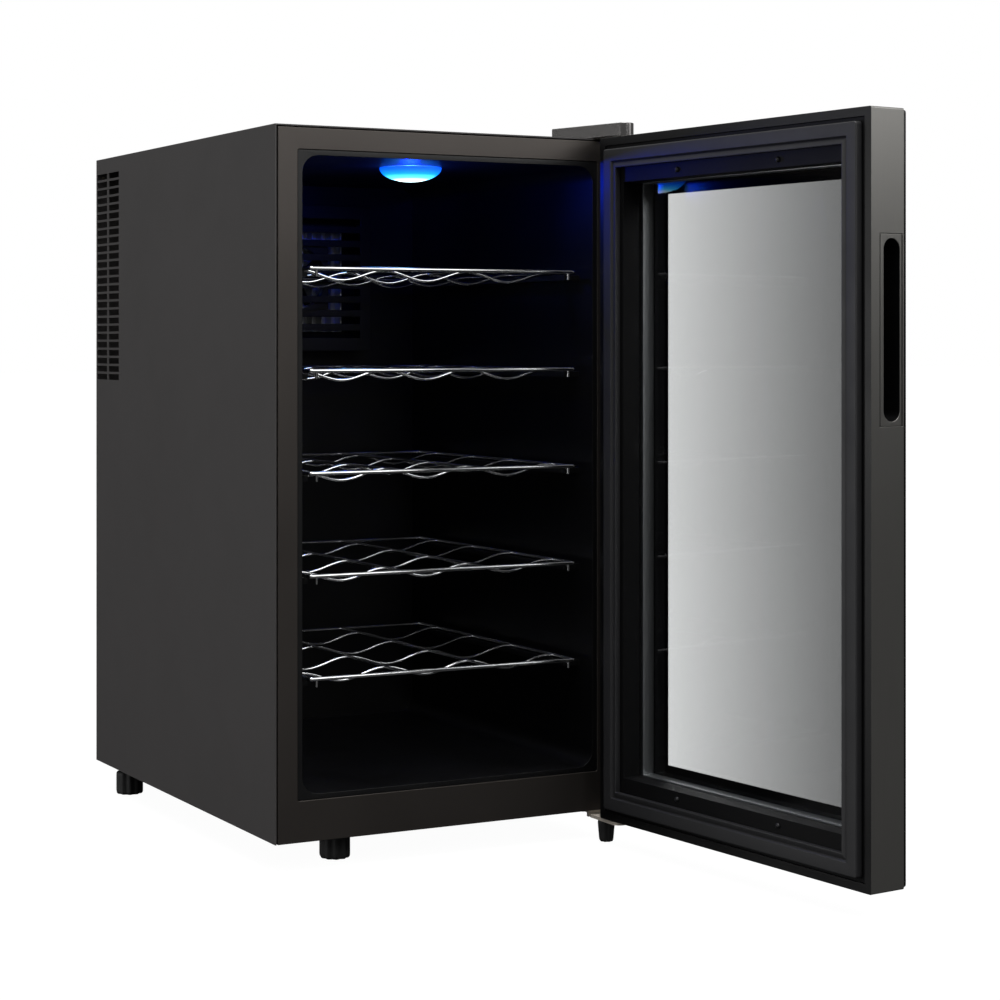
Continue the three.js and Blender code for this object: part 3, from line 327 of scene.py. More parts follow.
def brushed(name, base, along, rough, drift=0.12, metallic=1.0):
    """A brushed metal: fine scratches run along one axis (0, 1 or 2) of the piece."""
    made, tree = material(name)
    place = add(tree, "ShaderNodeTexCoord").outputs["Object"]
    stretch = [spacing(0.9)] * 3  # scratches are drawn about ten times as wide as real ones, to show
    stretch[along] = spacing(60)
    scratch_place = add(tree, "ShaderNodeMapping", {"Vector": place, "Scale": tuple(stretch)})
    scratches = add(tree, "ShaderNodeTexNoise", {"Vector": scratch_place, "Scale": 1.0, "Detail": 3.0})
    ramp = add(tree, "ShaderNodeValToRGB", {"Fac": scratches.outputs["Fac"]})
    ramp.color_ramp.elements[0].color = rgba(base, 1 - drift)
    ramp.color_ramp.elements[1].color = rgba(base, 1 + drift)
    roughness = add(tree, "ShaderNodeMapRange", {
        "Value": scratches.outputs["Fac"], "To Min": rough[0], "To Max": rough[1]})
    bump = add(tree, "ShaderNodeBump", {
        "Height": scratches.outputs["Fac"], "Distance": 0.02 * MM, "Strength": 0.5})
    shader = add(tree, "ShaderNodeBsdfPrincipled", {
        "Base Color": ramp.outputs["Color"], "Metallic": metallic,
        "Roughness": roughness.outputs["Result"], "Normal": bump.outputs["Normal"]})
    return surfaced(made, shader)


def powder_coated_steel():
    """Powder-coated steel sheet: satin dark grey with a slight orange peel."""
    return grained(
        "powder_coated_steel", tint("steel"), 1.6, 0.012, (0.5, 0.58), 120, 0.03, Specular_IOR_Level=0.25)


def satin_painted_frame():
    """Sprayed metallic paint on the front frame: smoother and a little warmer than the shell."""
    return grained("satin_painted_frame", tint("face"), 1.2, 0.006, (0.36, 0.42), 150, 0.04, Metallic=0.8)


def satin_door_trim():
    """Satin anodised aluminium, brushed along the door's height."""
    return brushed("satin_anodised_aluminium", tint("trim"), 2, (0.26, 0.34), 0.04, 0.9)


def moulded_abs():
    """Black ABS: a fine spark-eroded mould grain that softens the highlights."""
    return grained(
        "black_moulded_abs", tint("plastic"), 0.9, 0.01, (0.34, 0.42), 80, 0.1, Specular_IOR_Level=0.35)


def matt_abs():
    """Matt black ABS of the door's inner frame, with a coarser grain than the liner's."""
    return grained("matt_black_abs", tint("plastic"), 1.2, 0.02, (0.5, 0.6), 80, 0.1, Specular_IOR_Level=0.15)


def painted_floor_light_zinc():
    """Zinc plate painted pale cream, duller than the screws; the pale cream is painted light, standing in for
    light thrown up on the low bracket by a bright floor.
    """
    return grained("cream_passivated_zinc", linear("#e9dfd2"), 2.0, 0.01, (0.4, 0.5), 9, 0.06, Metallic=0.3)


def soft_pvc():
    """Soft PVC extrusion of the seal: dark charcoal with a dull, slightly greasy sheen."""
    return grained("soft_pvc_gasket", tint("gasket"), 2.5, 0.01, (0.5, 0.6), 40, 0.08)


def chrome_plate():
    """Bright chrome on drawn wire."""
    return grained("chrome_plated_wire", linear("#d9dadb"), 3.0, 0.004, (0.1, 0.2), 30, 0.05, Metallic=1.0)


def zinc_plate():
    """Zinc-plated steel, pale with cloudy passivation."""
    return grained("zinc_plated_steel", linear("#cfc8be"), 2.0, 0.01, (0.3, 0.45), 9, 0.1, Metallic=0.6)


def blackened_steel():
    """Steel screws with a black oxide coat, thinly oiled."""
    return grained("blackened_steel", linear("#1b1b1d"), 2.0, 0.006, (0.35, 0.5), 12, 0.1, Metallic=0.4)


def bare_aluminium():
    """Extruded aluminium with its drawing lines."""
    return brushed("extruded_aluminium", linear("#c0c2c4"), 2, (0.3, 0.5))


def rigid_foam():
    """Poured polyurethane foam: straw yellow with open cells."""
    return grained("rigid_foam", linear("#d9cf98"), 2.2, 0.4, (0.85, 0.95), 25, 0.12)


def moulded_rubber():
    """Black rubber, slightly dusty."""
    return grained("moulded_rubber", linear("#151515"), 1.5, 0.03, (0.6, 0.75), 12, 0.2)


def white_nylon():
    """Natural nylon, milky and smooth."""
    return grained("white_nylon", linear("#dedcd4"), 1.0, 0.01, (0.35, 0.45), 8, 0.03)


def sintered_ceramic():
    """White alumina plate, matt."""
    return grained("alumina_ceramic", linear("#e4e2dc"), 0.8, 0.01, (0.6, 0.7), 10, 0.03)


def solder_masked_board():
    """Glass-epoxy board under green solder mask, with paler copper tracks."""
    made, tree = material("solder_masked_board")
    place = add(tree, "ShaderNodeTexCoord").outputs["Object"]
    cells = add(tree, "ShaderNodeTexVoronoi", {"Vector": place, "Scale": spacing(6)}, distance="CHEBYCHEV")
    ramp = add(tree, "ShaderNodeValToRGB", {"Fac": cells.outputs["Distance"]})
    ramp.color_ramp.interpolation = "CONSTANT"
    ramp.color_ramp.elements[0].color = rgba(linear("#17402a"))
    ramp.color_ramp.elements[1].color = rgba(linear("#25603c"))
    ramp.color_ramp.elements[1].position = 0.4
    shader = add(tree, "ShaderNodeBsdfPrincipled", {"Base Color": ramp.outputs["Color"], "Roughness": 0.35})
    return surfaced(made, shader)


def door_place(tree):
    """Coordinates in the shut door's own axes about its pin, for a pattern on a door piece."""
    place = add(tree, "ShaderNodeTexCoord").outputs["Object"]
    shift = TO_DOOR.to_translation()
    turned_place = add(tree, "ShaderNodeMapping", {
        "Vector": place, "Rotation": (0, 0, -DOOR_ANGLE), "Location": tuple(shift)})
    return add(tree, SEPARATE, {"Vector": turned_place})


def clear_glass():
    """Toughened float glass: a faint green-grey film that hardly shades what is behind it."""
    made, tree = material("toughened_clear_glass")
    sheen = add(tree, "ShaderNodeFresnel", {"IOR": 1.5}).outputs["Fac"]
    inside = add(tree, "ShaderNodeNewGeometry").outputs["Backfacing"]
    outside = add(tree, MATH, {0: 1.0, 1: inside}, operation="SUBTRACT")
    share = add(tree, MATH, {0: sheen, 1: outside}, operation="MULTIPLY")
    through = add(tree, "ShaderNodeBsdfTransparent", {"Color": rgba(linear("#f5f6f6"))})
    gloss = add(tree, "ShaderNodeBsdfAnisotropic", {"Color": rgba((1, 1, 1)), "Roughness": 0.02})
    mix = add(tree, "ShaderNodeMixShader", {0: share, 1: through, 2: gloss})
    return surfaced(made, mix)


def bordered_glass():
    """Smoked outer pane: a black ceramic print round the edge, and a dark window whose see-through share falls
    from the hinge side to the free side. That fall across the window is painted shade standing in for a
    reflection, not a tint of the glass."""
    made, tree = material("smoked_glass_with_printed_border")
    low, high = door_box("outer_glass")
    sizes = bpy.context.scene.cooler_sizes
    place = door_place(tree)

    def band(value, lowest, highest):
        above = add(tree, MATH, {0: value, 1: lowest}, operation="GREATER_THAN")
        below = add(tree, MATH, {0: value, 1: highest}, operation="LESS_THAN")
        return add(tree, MATH, {0: above, 1: below}, operation="MULTIPLY")

    across = band(place.outputs["X"], low.x + sizes.border, high.x - sizes.border)
    upright = band(place.outputs["Z"], low.z + sizes.border_end, high.z - sizes.border_end)
    window = add(tree, MATH, {0: across, 1: upright}, operation="MULTIPLY")
    # the run from clear_at_hinge down to clear_at_free_side is painted shade, standing in for a reflection
    # across the window
    clear_at_free_side, clear_at_hinge = 0.398, 0.87  # shares of the light that the window lets through
    painted_shade_run = add(tree, "ShaderNodeMapRange", {
        "Value": place.outputs["X"], "From Min": low.x + sizes.border, "From Max": high.x - sizes.border,
        "To Min": clear_at_free_side, "To Max": clear_at_hinge})
    clear = add(tree, MATH, {0: painted_shade_run.outputs["Result"], 1: window}, operation="MULTIPLY")
    alpha = add(tree, MATH, {0: 1.0, 1: clear}, operation="SUBTRACT")
    shader = add(tree, "ShaderNodeBsdfPrincipled", {
        "Base Color": rgba(linear("#040405")), "Roughness": 0.12, "IOR": 1.5,
        "Specular IOR Level": 0.2, "Alpha": alpha})
    return surfaced(made, shader)


def lit_lens():
    """Frosted acrylic dome lit from inside: nearly white in the middle, deep blue at the rim."""
    made, tree = material("lit_frosted_acrylic")
    low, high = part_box("lamp_lens")
    middle = (low + high) / 2
    place = add(tree, "ShaderNodeTexCoord").outputs["Object"]
    centred = add(tree, "ShaderNodeMapping", {"Vector": place, "Location": (-middle.x, -middle.y, 0)})
    flat = add(tree, "ShaderNodeVectorMath", {0: centred, 1: (1, 1, 0)}, operation="MULTIPLY")
    away = add(tree, "ShaderNodeVectorMath", {0: flat}, operation="LENGTH")
    share = add(tree, MATH, {0: away.outputs["Value"], 1: (high.x - low.x) / 2}, operation="DIVIDE")
    ramp = add(tree, "ShaderNodeValToRGB", {"Fac": share})
    ramp.color_ramp.elements[0].color = rgba(linear("#e0ffff"))
    ramp.color_ramp.elements[0].position = 0.35
    ramp.color_ramp.elements[1].color = rgba(linear("#0034b0"))
    for position, code in ((0.62, "#48c8ff"), (0.86, "#0068e8")):
        ring_of_light = ramp.color_ramp.elements.new(position)
        ring_of_light.color = rgba(linear(code))
    shader = add(tree, "ShaderNodeBsdfPrincipled", {
        "Base Color": rgba(linear("#8fc8e8")), "Roughness": 0.35,
        "Emission Color": ramp.outputs["Color"], "Emission Strength": 3.5})
    return surfaced(made, shader)


def lit_display():
    """Light-emitting segments behind the printed border."""
    made, tree = material("blue_display_segments")
    glow = add(tree, "ShaderNodeEmission", {"Color": rgba(linear("#4fb4ff")), "Strength": 1.5})
    return surfaced(made, glow)


MADE = {}


def finish(maker):
    """Each finish is made once and shared."""
    if maker not in MADE:
        MADE[maker] = maker()
    return MADE[maker]


def tint(name):
    return tuple(getattr(bpy.context.scene.cooler_colours, name))


# ---- Geometry Nodes ----
def node_group(name, inputs):
    """A geometry tree with named inputs: {name: default}. The default's type gives the socket's."""
    kinds = {float: "NodeSocketFloat", int: "NodeSocketInt", tuple: "NodeSocketVector"}
    tree = bpy.data.node_groups.new(name, "GeometryNodeTree")
    tree.interface.new_socket("Geometry", in_out="INPUT", socket_type="NodeSocketGeometry")
    for label, default in inputs.items():
        socket = tree.interface.new_socket(label, in_out="INPUT", socket_type=kinds[type(default)])
        socket.default_value = default
    tree.interface.new_socket("Geometry", in_out="OUTPUT", socket_type="NodeSocketGeometry")
    return tree, add(tree, "NodeGroupInput").outputs


def close_tree(tree, geometry, finish_material):
    """Ends a tree in Realize Instances and Set Material."""
    whole = add(tree, "GeometryNodeRealizeInstances", {"Geometry": geometry})
    painted = add(tree, "GeometryNodeSetMaterial", {"Geometry": whole, "Material": finish_material})
    add(tree, "NodeGroupOutput", {"Geometry": painted})


def grown(name, tree, values, body, replaced=(), points=(), smooth=40):
    """Runs a tree on a mesh of points, and keeps the result as a plain piece."""
    seed = bpy.data.meshes.new(name + "_seed")
    seed.from_pydata([tuple(p) for p in points], [], [])
    carrier = bpy.data.objects.new(name + "_seed", seed)
    bpy.context.scene.collection.objects.link(carrier)
    modifier = carrier.modifiers.new("grow", "NODES")
    modifier.node_group = tree
    for item in tree.interface.items_tree:
        if item.in_out == "INPUT" and item.name in values:
            modifier[item.identifier] = values[item.name]
    bpy.context.view_layer.update()
    mesh = bpy.data.meshes.new_from_object(carrier.evaluated_get(bpy.context.evaluated_depsgraph_get()))
    carrier.modifiers.clear()
    bpy.data.objects.remove(carrier)
    bm = bmesh.new()
    bm.from_mesh(mesh)
    materials = list(mesh.materials)
    return piece(name, bm, materials, body, replaced, smooth)


def tube(tree, curve, radius, sides=12):
    """A round wire along a curve."""
    profile = add(tree, "GeometryNodeCurvePrimitiveCircle", {"Radius": radius, "Resolution": sides})
    return add(tree, "GeometryNodeCurveToMesh", {"Curve": curve, "Profile Curve": profile, "Fill Caps": True})


def copies(tree, points, instance, **sockets):
    """An instance on each point, made real."""
    placed = add(tree, "GeometryNodeInstanceOnPoints", {"Points": points, "Instance": instance, **sockets})
    return add(tree, "GeometryNodeRealizeInstances", {"Geometry": placed})


def shelf_tree(chrome):
    """A wire shelf: a rounded outline, cross wires that dip under each bottle, lengthways wires
    between the bottles, and short stops under the front wire."""
    tree, given = node_group("wire_shelf", {
        "Half Width": 0.1375, "Front": -0.217, "Rear": 0.094,
        "Height": 0.2, "Wire": 0.004, "Cross Wire": 0.003,
        "Pitch": 0.086, "Dip": 0.009, "Cross Wires": 4,
        "Corner": 0.0025, "Stop": 0.007, "Lane Lift": 0.0004})
    height = given["Height"]
    pitch = given["Pitch"]
    radius = add(tree, MATH, {0: given["Wire"], 1: 2.0}, operation="DIVIDE")
    thin = add(tree, MATH, {0: given["Cross Wire"], 1: 2.0}, operation="DIVIDE")
    half = add(tree, MATH, {0: given["Half Width"], 1: radius}, operation="SUBTRACT")
    front = add(tree, MATH, {0: given["Front"], 1: radius}, operation="ADD")
    rear = add(tree, MATH, {0: given["Rear"], 1: radius}, operation="SUBTRACT")
    long_side = add(tree, MATH, {0: rear, 1: front}, operation="SUBTRACT")

    # outline
    both_ends = add(tree, MATH, {0: rear, 1: front}, operation="ADD")
    centre = add(tree, MATH, {0: both_ends, 1: 2.0}, operation="DIVIDE")
    wide = add(tree, MATH, {0: half, 1: 2.0}, operation="MULTIPLY")
    rectangle = add(tree, "GeometryNodeCurvePrimitiveQuadrilateral", {"Width": wide, "Height": long_side})
    rounded = add(tree, "GeometryNodeFilletCurve", {
        "Curve": rectangle, "Radius": given["Corner"], "Count": 8}, mode="POLY")
    place = add(tree, COMBINE, {"Y": centre, "Z": height})
    outline = add(tree, SHIFT, {"Geometry": rounded, "Translation": place})

    # one cross wire: a cosine of the bottle spacing, level outside the three rests
    left = add(tree, MATH, {0: half, 1: -1.0}, operation="MULTIPLY")
    line = add(tree, LINE, {"Start": add(tree, COMBINE, {"X": left}), "End": add(tree, COMBINE, {"X": half})})
    fine = add(tree, "GeometryNodeResampleCurve", {"Curve": line, "Count": 121})
    across = add(tree, SEPARATE, {"Vector": add(tree, "GeometryNodeInputPosition")}).outputs["X"]
    bottles = add(tree, MATH, {0: across, 1: pitch}, operation="DIVIDE")
    turn = add(tree, MATH, {0: bottles, 1: 2 * math.pi}, operation="MULTIPLY")
    swing = add(tree, MATH, {0: turn}, operation="COSINE")
    wave = add(tree, MATH, {0: swing, 1: 1.0}, operation="ADD")
    reach = add(tree, MATH, {0: pitch, 1: 1.5}, operation="MULTIPLY")
    distance = add(tree, MATH, {0: across}, operation="ABSOLUTE")
    inside = add(tree, MATH, {0: distance, 1: reach}, operation="LESS_THAN")
    kept = add(tree, MATH, {0: wave, 1: inside}, operation="MULTIPLY")
    depth = add(tree, MATH, {0: given["Dip"], 1: -0.5}, operation="MULTIPLY")
    drop = add(tree, MATH, {0: kept, 1: depth}, operation="MULTIPLY")
    wavy = add(tree, "GeometryNodeSetPosition", {"Geometry": fine, "Offset": add(tree, COMBINE, {"Z": drop})})

    # cross wires from front to rear
    step = add(tree, MATH, {0: long_side, 1: given["Cross Wires"]}, operation="DIVIDE")
    half_step = add(tree, MATH, {0: step, 1: 0.5}, operation="MULTIPLY")
    first = add(tree, MATH, {0: front, 1: half_step}, operation="ADD")
    crossings = add(tree, ROW, {
        "Count": given["Cross Wires"], "Start Location": add(tree, COMBINE, {"Y": first, "Z": height}),
        "Offset": add(tree, COMBINE, {"Y": step})}, mode="OFFSET")
    waves = copies(tree, crossings, wavy)

    # lengthways wires
    lane_height = add(tree, MATH, {0: height, 1: given["Lane Lift"]}, operation="ADD")
    run = add(tree, LINE, {
        "Start": add(tree, COMBINE, {"Y": front, "Z": lane_height}),
        "End": add(tree, COMBINE, {"Y": rear, "Z": lane_height})})
    first_lane = add(tree, MATH, {0: pitch, 1: -0.5}, operation="MULTIPLY")
    lanes = add(tree, ROW, {
        "Count": 2, "Start Location": add(tree, COMBINE, {"X": first_lane}),
        "Offset": add(tree, COMBINE, {"X": pitch})}, mode="OFFSET")
    runs = copies(tree, lanes, run)

    # stops
    stop_end = add(tree, MATH, {0: height, 1: given["Stop"]}, operation="SUBTRACT")
    stub = add(tree, LINE, {
        "Start": add(tree, COMBINE, {"Y": front, "Z": height}),
        "End": add(tree, COMBINE, {"Y": front, "Z": stop_end})})
    first_stop = add(tree, MATH, {0: pitch, 1: -1.5}, operation="MULTIPLY")
    apart = add(tree, MATH, {0: pitch, 1: 3.0}, operation="MULTIPLY")
    ends = add(tree, ROW, {
        "Count": 2, "Start Location": add(tree, COMBINE, {"X": first_stop}),
        "Offset": add(tree, COMBINE, {"X": apart})}, mode="OFFSET")
    stops = copies(tree, ends, stub)

    wires = [tube(tree, outline, radius, 16)] + [tube(tree, curve, thin, 10) for curve in (waves, runs, stops)]
    close_tree(tree, add(tree, JOIN, {0: wires}), chrome)
    return tree


def screw_tree(name, metal):
    """Pan-head screws with a cross recess, one at each point, turned to face a direction."""
    tree, given = node_group(name, {
        "Head Radius": 0.0038, "Head Height": 0.0022, "Recess Length": 1.15,
        "Recess Width": 0.24, "Turn": (0.0, 0.0, 0.0)})
    radius = given["Head Radius"]
    tall = given["Head Height"]
    dome = add(tree, "GeometryNodeMeshUVSphere", {"Segments": 28, "Rings": 16, "Radius": 1.0})
    size = add(tree, COMBINE, {"X": radius, "Y": radius, "Z": tall})
    flattened = add(tree, SHIFT, {"Geometry": dome, "Scale": size})
    arm = add(tree, MATH, {0: radius, 1: given["Recess Length"]}, operation="MULTIPLY")
    width = add(tree, MATH, {0: radius, 1: given["Recess Width"]}, operation="MULTIPLY")
    crown = add(tree, COMBINE, {"Z": tall})
    cuts = []
    for x, y in ((arm, width), (width, arm)):
        bar = add(tree, CUBE, {"Size": add(tree, COMBINE, {"X": x, "Y": y, "Z": tall})})
        cuts.append(add(tree, SHIFT, {"Geometry": bar, "Translation": crown}))
    block = 0.05  # a block far larger than the head takes off its lower half
    base = add(tree, CUBE, {"Size": (block, block, block)})
    cuts.append(add(tree, SHIFT, {"Geometry": base, "Translation": (0.0, 0.0, -block / 2)}))
    head = add(tree, "GeometryNodeMeshBoolean", {
        0: flattened, 1: add(tree, JOIN, {0: cuts})}, operation="DIFFERENCE")
    close_tree(tree, copies(tree, given["Geometry"], head, Rotation=given["Turn"]), metal)
    return tree


def foot_tree(rubber):
    """A fluted grip: a cylinder whose side follows a cosine round the axis, gathered in at both ends."""
    tree, given = node_group("fluted_foot", {
        "Radius": 0.014, "Flutes": 10, "Flute Depth": 0.0014,
        "Taper": 0.0, "Bottom": -0.026, "Top": -0.004,
        "Gather": 0.1, "Stud Radius": 0.004, "Stud Top": 0.012})
    tall = add(tree, MATH, {0: given["Top"], 1: given["Bottom"]}, operation="SUBTRACT")
    drum = add(tree, CYLINDER, {
        "Vertices": 120, "Side Segments": 24, "Fill Segments": 1, "Radius": given["Radius"], "Depth": tall})
    at = add(tree, SEPARATE, {"Vector": add(tree, "GeometryNodeInputPosition")}).outputs

    # flutes round the side
    angle = add(tree, MATH, {0: at["Y"], 1: at["X"]}, operation="ARCTAN2")
    turns = add(tree, MATH, {0: angle, 1: given["Flutes"]}, operation="MULTIPLY")
    swing = add(tree, MATH, {0: turns}, operation="COSINE")
    ripple = add(tree, MATH, {0: 1.0, 1: swing}, operation="SUBTRACT")
    cut = add(tree, MATH, {0: ripple, 1: given["Flute Depth"]}, operation="MULTIPLY")
    flute = add(tree, MATH, {0: cut, 1: given["Radius"]}, operation="DIVIDE")
    half_flute = add(tree, MATH, {0: flute, 1: 0.5}, operation="MULTIPLY")

    # ends drawn in
    distance = add(tree, MATH, {0: at["Z"]}, operation="ABSOLUTE")
    share = add(tree, MATH, {0: distance, 1: tall}, operation="DIVIDE")
    from_middle = add(tree, MATH, {0: share, 1: 2.0}, operation="MULTIPLY")
    end = add(tree, MATH, {0: from_middle, 1: 12.0}, operation="POWER")
    gather = add(tree, MATH, {0: end, 1: given["Gather"]}, operation="MULTIPLY")

    # taper towards the sole
    height_share = add(tree, MATH, {0: at["Z"], 1: tall}, operation="DIVIDE")
    low_share = add(tree, MATH, {0: 0.5, 1: height_share}, operation="SUBTRACT")
    taper = add(tree, MATH, {0: low_share, 1: given["Taper"]}, operation="MULTIPLY")
    narrowed = add(tree, MATH, {0: 1.0, 1: taper}, operation="SUBTRACT")

    fluted = add(tree, MATH, {0: narrowed, 1: half_flute}, operation="SUBTRACT")
    scale = add(tree, MATH, {0: fluted, 1: gather}, operation="SUBTRACT")
    drawn = add(tree, COMBINE, {
        "X": add(tree, MATH, {0: at["X"], 1: scale}, operation="MULTIPLY"),
        "Y": add(tree, MATH, {0: at["Y"], 1: scale}, operation="MULTIPLY"), "Z": at["Z"]})
    shaped = add(tree, "GeometryNodeSetPosition", {"Geometry": drum, "Position": drawn})
    both_ends = add(tree, MATH, {0: given["Top"], 1: given["Bottom"]}, operation="ADD")
    middle = add(tree, MATH, {0: both_ends, 1: 2.0}, operation="DIVIDE")
    grip = add(tree, SHIFT, {"Geometry": shaped, "Translation": add(tree, COMBINE, {"Z": middle})})

    # stud, from the grip's middle up
    stud_tall = add(tree, MATH, {0: given["Stud Top"], 1: middle}, operation="SUBTRACT")
    stud = add(tree, CYLINDER, {"Vertices": 32, "Radius": given["Stud Radius"], "Depth": stud_tall})
    stud_ends = add(tree, MATH, {0: given["Stud Top"], 1: middle}, operation="ADD")
    stud_middle = add(tree, MATH, {0: stud_ends, 1: 2.0}, operation="DIVIDE")
    stud_up = add(tree, SHIFT, {"Geometry": stud, "Translation": add(tree, COMBINE, {"Z": stud_middle})})
    foot = add(tree, JOIN, {0: [grip, stud_up]})
    close_tree(tree, copies(tree, given["Geometry"], foot), rubber)
    return tree


def guard_tree(plastic):
    """Rings and crossed spokes in front of the fan."""
    tree, given = node_group("fan_guard", {
        "Ring Spacing": 0.009, "Rings": 4, "Wire": 0.002,
        "Reach": 0.041})
    radius = add(tree, MATH, {0: given["Wire"], 1: 2.0}, operation="DIVIDE")
    unit = add(tree, "GeometryNodeCurvePrimitiveCircle", {"Radius": 1.0, "Resolution": 72})
    number = add(tree, MATH, {0: add(tree, "GeometryNodeInputIndex"), 1: 1.0}, operation="ADD")
    size = add(tree, MATH, {0: number, 1: given["Ring Spacing"]}, operation="MULTIPLY")
    nowhere = (0.0, 0.0, 0.0)  # every ring has the same middle
    places = add(tree, ROW, {
        "Count": given["Rings"], "Start Location": nowhere, "Offset": nowhere}, mode="OFFSET")
    rings = copies(tree, places, unit, Scale=add(tree, COMBINE, {"X": size, "Y": size, "Z": 1.0}))
    wires = [tube(tree, rings, radius)]
    for angle in (math.radians(45), math.radians(135)):
        end = add(tree, COMBINE, {
            "X": add(tree, MATH, {0: given["Reach"], 1: math.cos(angle)}, operation="MULTIPLY"),
            "Y": add(tree, MATH, {0: given["Reach"], 1: math.sin(angle)}, operation="MULTIPLY")})
        start = add(tree, "ShaderNodeVectorMath", {0: end, "Scale": -1.0}, operation="SCALE")
        wires.append(tube(tree, add(tree, LINE, {"Start": start, "End": end}), radius))
    guard = add(tree, JOIN, {0: wires})
    upright = add(tree, SHIFT, {"Geometry": guard, "Rotation": (math.pi / 2, 0.0, 0.0)})
    close_tree(tree, copies(tree, given["Geometry"], upright), plastic)
    return tree


# ---- operators ----
class StageOperator(bpy.types.Operator):
    """Lays the pale floor, hangs the soft lights and sets the camera"""
    bl_idname = "cooler.stage"
    bl_label = "Stage"

    def execute(self, context):
        scene = context.scene
        scene.view_settings.view_transform = "Standard"
        self.floor(scene)
        self.sky(scene)
        self.lights(scene)
        self.camera(scene)
        return {"FINISHED"}

    def floor(self, scene):
        ground = min(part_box(node)[0].z for node in frame["nodes"] if node.startswith("foot_"))
        mesh = bpy.data.meshes.new("floor")
        reach = 30
        corners = [(-reach, -reach), (reach, -reach), (reach, reach), (-reach, reach)]
        mesh.from_pydata([(x, y, ground - 0.0002) for x, y in corners], [], [(0, 1, 2, 3)])
        floor = bpy.data.objects.new("floor", mesh)
        scene.collection.objects.link(floor)
        made, tree = material("pale_studio_floor")
        shader = add(tree, "ShaderNodeBsdfDiffuse", {"Color": rgba(linear("#484848"))})
        seen = add(tree, "ShaderNodeLightPath").outputs["Is Camera Ray"]
        strength = add(tree, MATH, {0: seen, 1: 0.97}, operation="MULTIPLY")
        fill = add(tree, "ShaderNodeEmission", {"Color": rgba((1, 1, 1)), "Strength": strength})
        both = add(tree, "ShaderNodeAddShader", {0: shader, 1: fill})
        mesh.materials.append(surfaced(made, both))

    def sky(self, scene):
        world = bpy.data.worlds.new("studio")
        world.use_nodes = True
        tree = world.node_tree
        tree.nodes.clear()
        seen = add(tree, "ShaderNodeLightPath").outputs["Is Camera Ray"]
        direction = add(tree, "ShaderNodeTexCoord").outputs["Generated"]
        up = add(tree, SEPARATE, {"Vector": direction})
        fall = add(tree, "ShaderNodeMapRange", {
            "Value": up.outputs["Z"], "From Min": 0.0, "From Max": 0.4, "To Min": 0.12, "To Max": 0.6})
        lit = add(tree, "ShaderNodeBackground", {"Color": rgba((1, 1, 1)), "Strength": fall.outputs["Result"]})
        white = add(tree, "ShaderNodeBackground", {"Color": rgba((1, 1, 1)), "Strength": 1.0})
        mix = add(tree, "ShaderNodeMixShader", {0: seen, 1: lit, 2: white})
        add(tree, "ShaderNodeOutputWorld", {"Surface": mix})
        scene.world = world

    def lights(self, scene):
        middle = (CAD_BOX[0] + CAD_BOX[1]) / 2
        softboxes = (
            ("key_softbox", (1.0, -2.2, 1.6), (2.6, 1.2), 34),
            ("overhead_softbox", (-0.3, -0.8, 2.6), (1.6, 1.6), 45),
            ("side_softbox", (-2.8, 0.5, 0.1), (2.4, 1.2), 34),
            ("rear_softbox", (1.6, 2.0, 1.8), (1.6, 1.6), 20),
            ("edge_softbox", (2.0, -2.2, 1.15), (0.8, 0.8), 2.8),
        )
        for name, place, size, watts in softboxes:
            lamp = bpy.data.lights.new(name, "AREA")
            lamp.energy = watts
            lamp.shape = "RECTANGLE"
            lamp.size, lamp.size_y = size
            holder = bpy.data.objects.new(name, lamp)
            holder.location = place
            holder.rotation_euler = (middle - Vector(place)).to_track_quat("-Z", "Y").to_euler()
            scene.collection.objects.link(holder)

    def camera(self, scene):
        camera = bpy.data.cameras.new("camera")
        camera.sensor_width = 36
        camera.lens = 36 * 2.2747
        camera.shift_x = 0.100
        camera.shift_y = -0.1582
        camera.dof.use_dof = False
        holder = bpy.data.objects.new("camera", camera)
        holder.location = (-0.9769, -2.0202, 0.4345)
        holder.rotation_euler = (math.radians(90), 0, -math.radians(27.26))
        scene.collection.objects.link(holder)
        scene.camera = holder


class CabinetOperator(bpy.types.Operator):
    """Finishes the steel shell, front frame, liner, base, rear panel and foam"""
    bl_idname = "cooler.cabinet"
    bl_label = "Cabinet"

    def execute(self, context):
        sizes = context.scene.cooler_sizes
        steel = finish(powder_coated_steel)
        finer("outer_shell", steel, CABINET, sizes.sheet_edge)
        finer("front_frame", finish(satin_painted_frame), CABINET, sizes.moulded_edge, 3)
        finer("inner_liner", finish(moulded_abs), CABINET, sizes.sheet_edge)
        finer("base_panel", steel, CABINET, sizes.sheet_edge)
        finer("rear_panel", steel, CABINET, sizes.sheet_edge / 2)
        paint("foam_insulation", finish(rigid_foam))
        paint("rear_bulkhead", finish(zinc_plate))
        return {"FINISHED"}


def paint(node, made):
    """Gives a CAD node its finish and leaves its shape."""
    mesh = frame["nodes"][node].data
    mesh.materials.clear()
    mesh.materials.append(made)


class ShelvesOperator(bpy.types.Operator):
    """Bends the five wire shelves"""
    bl_idname = "cooler.shelves"
    bl_label = "Shelves"

    def execute(self, context):
        sizes = context.scene.cooler_sizes
        tree = shelf_tree(finish(chrome_plate))
        for name in SHELVES:
            low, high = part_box(name)
            values = {
                "Half Width": high.x, "Front": low.y, "Rear": high.y, "Height": high.z - sizes.wire / 2,
                "Wire": sizes.wire, "Cross Wire": sizes.cross_wire, "Pitch": sizes.pitch, "Dip": sizes.dip,
            }
            grown(name + "_wires", tree, values, name, [name], smooth=60)
        return {"FINISHED"}


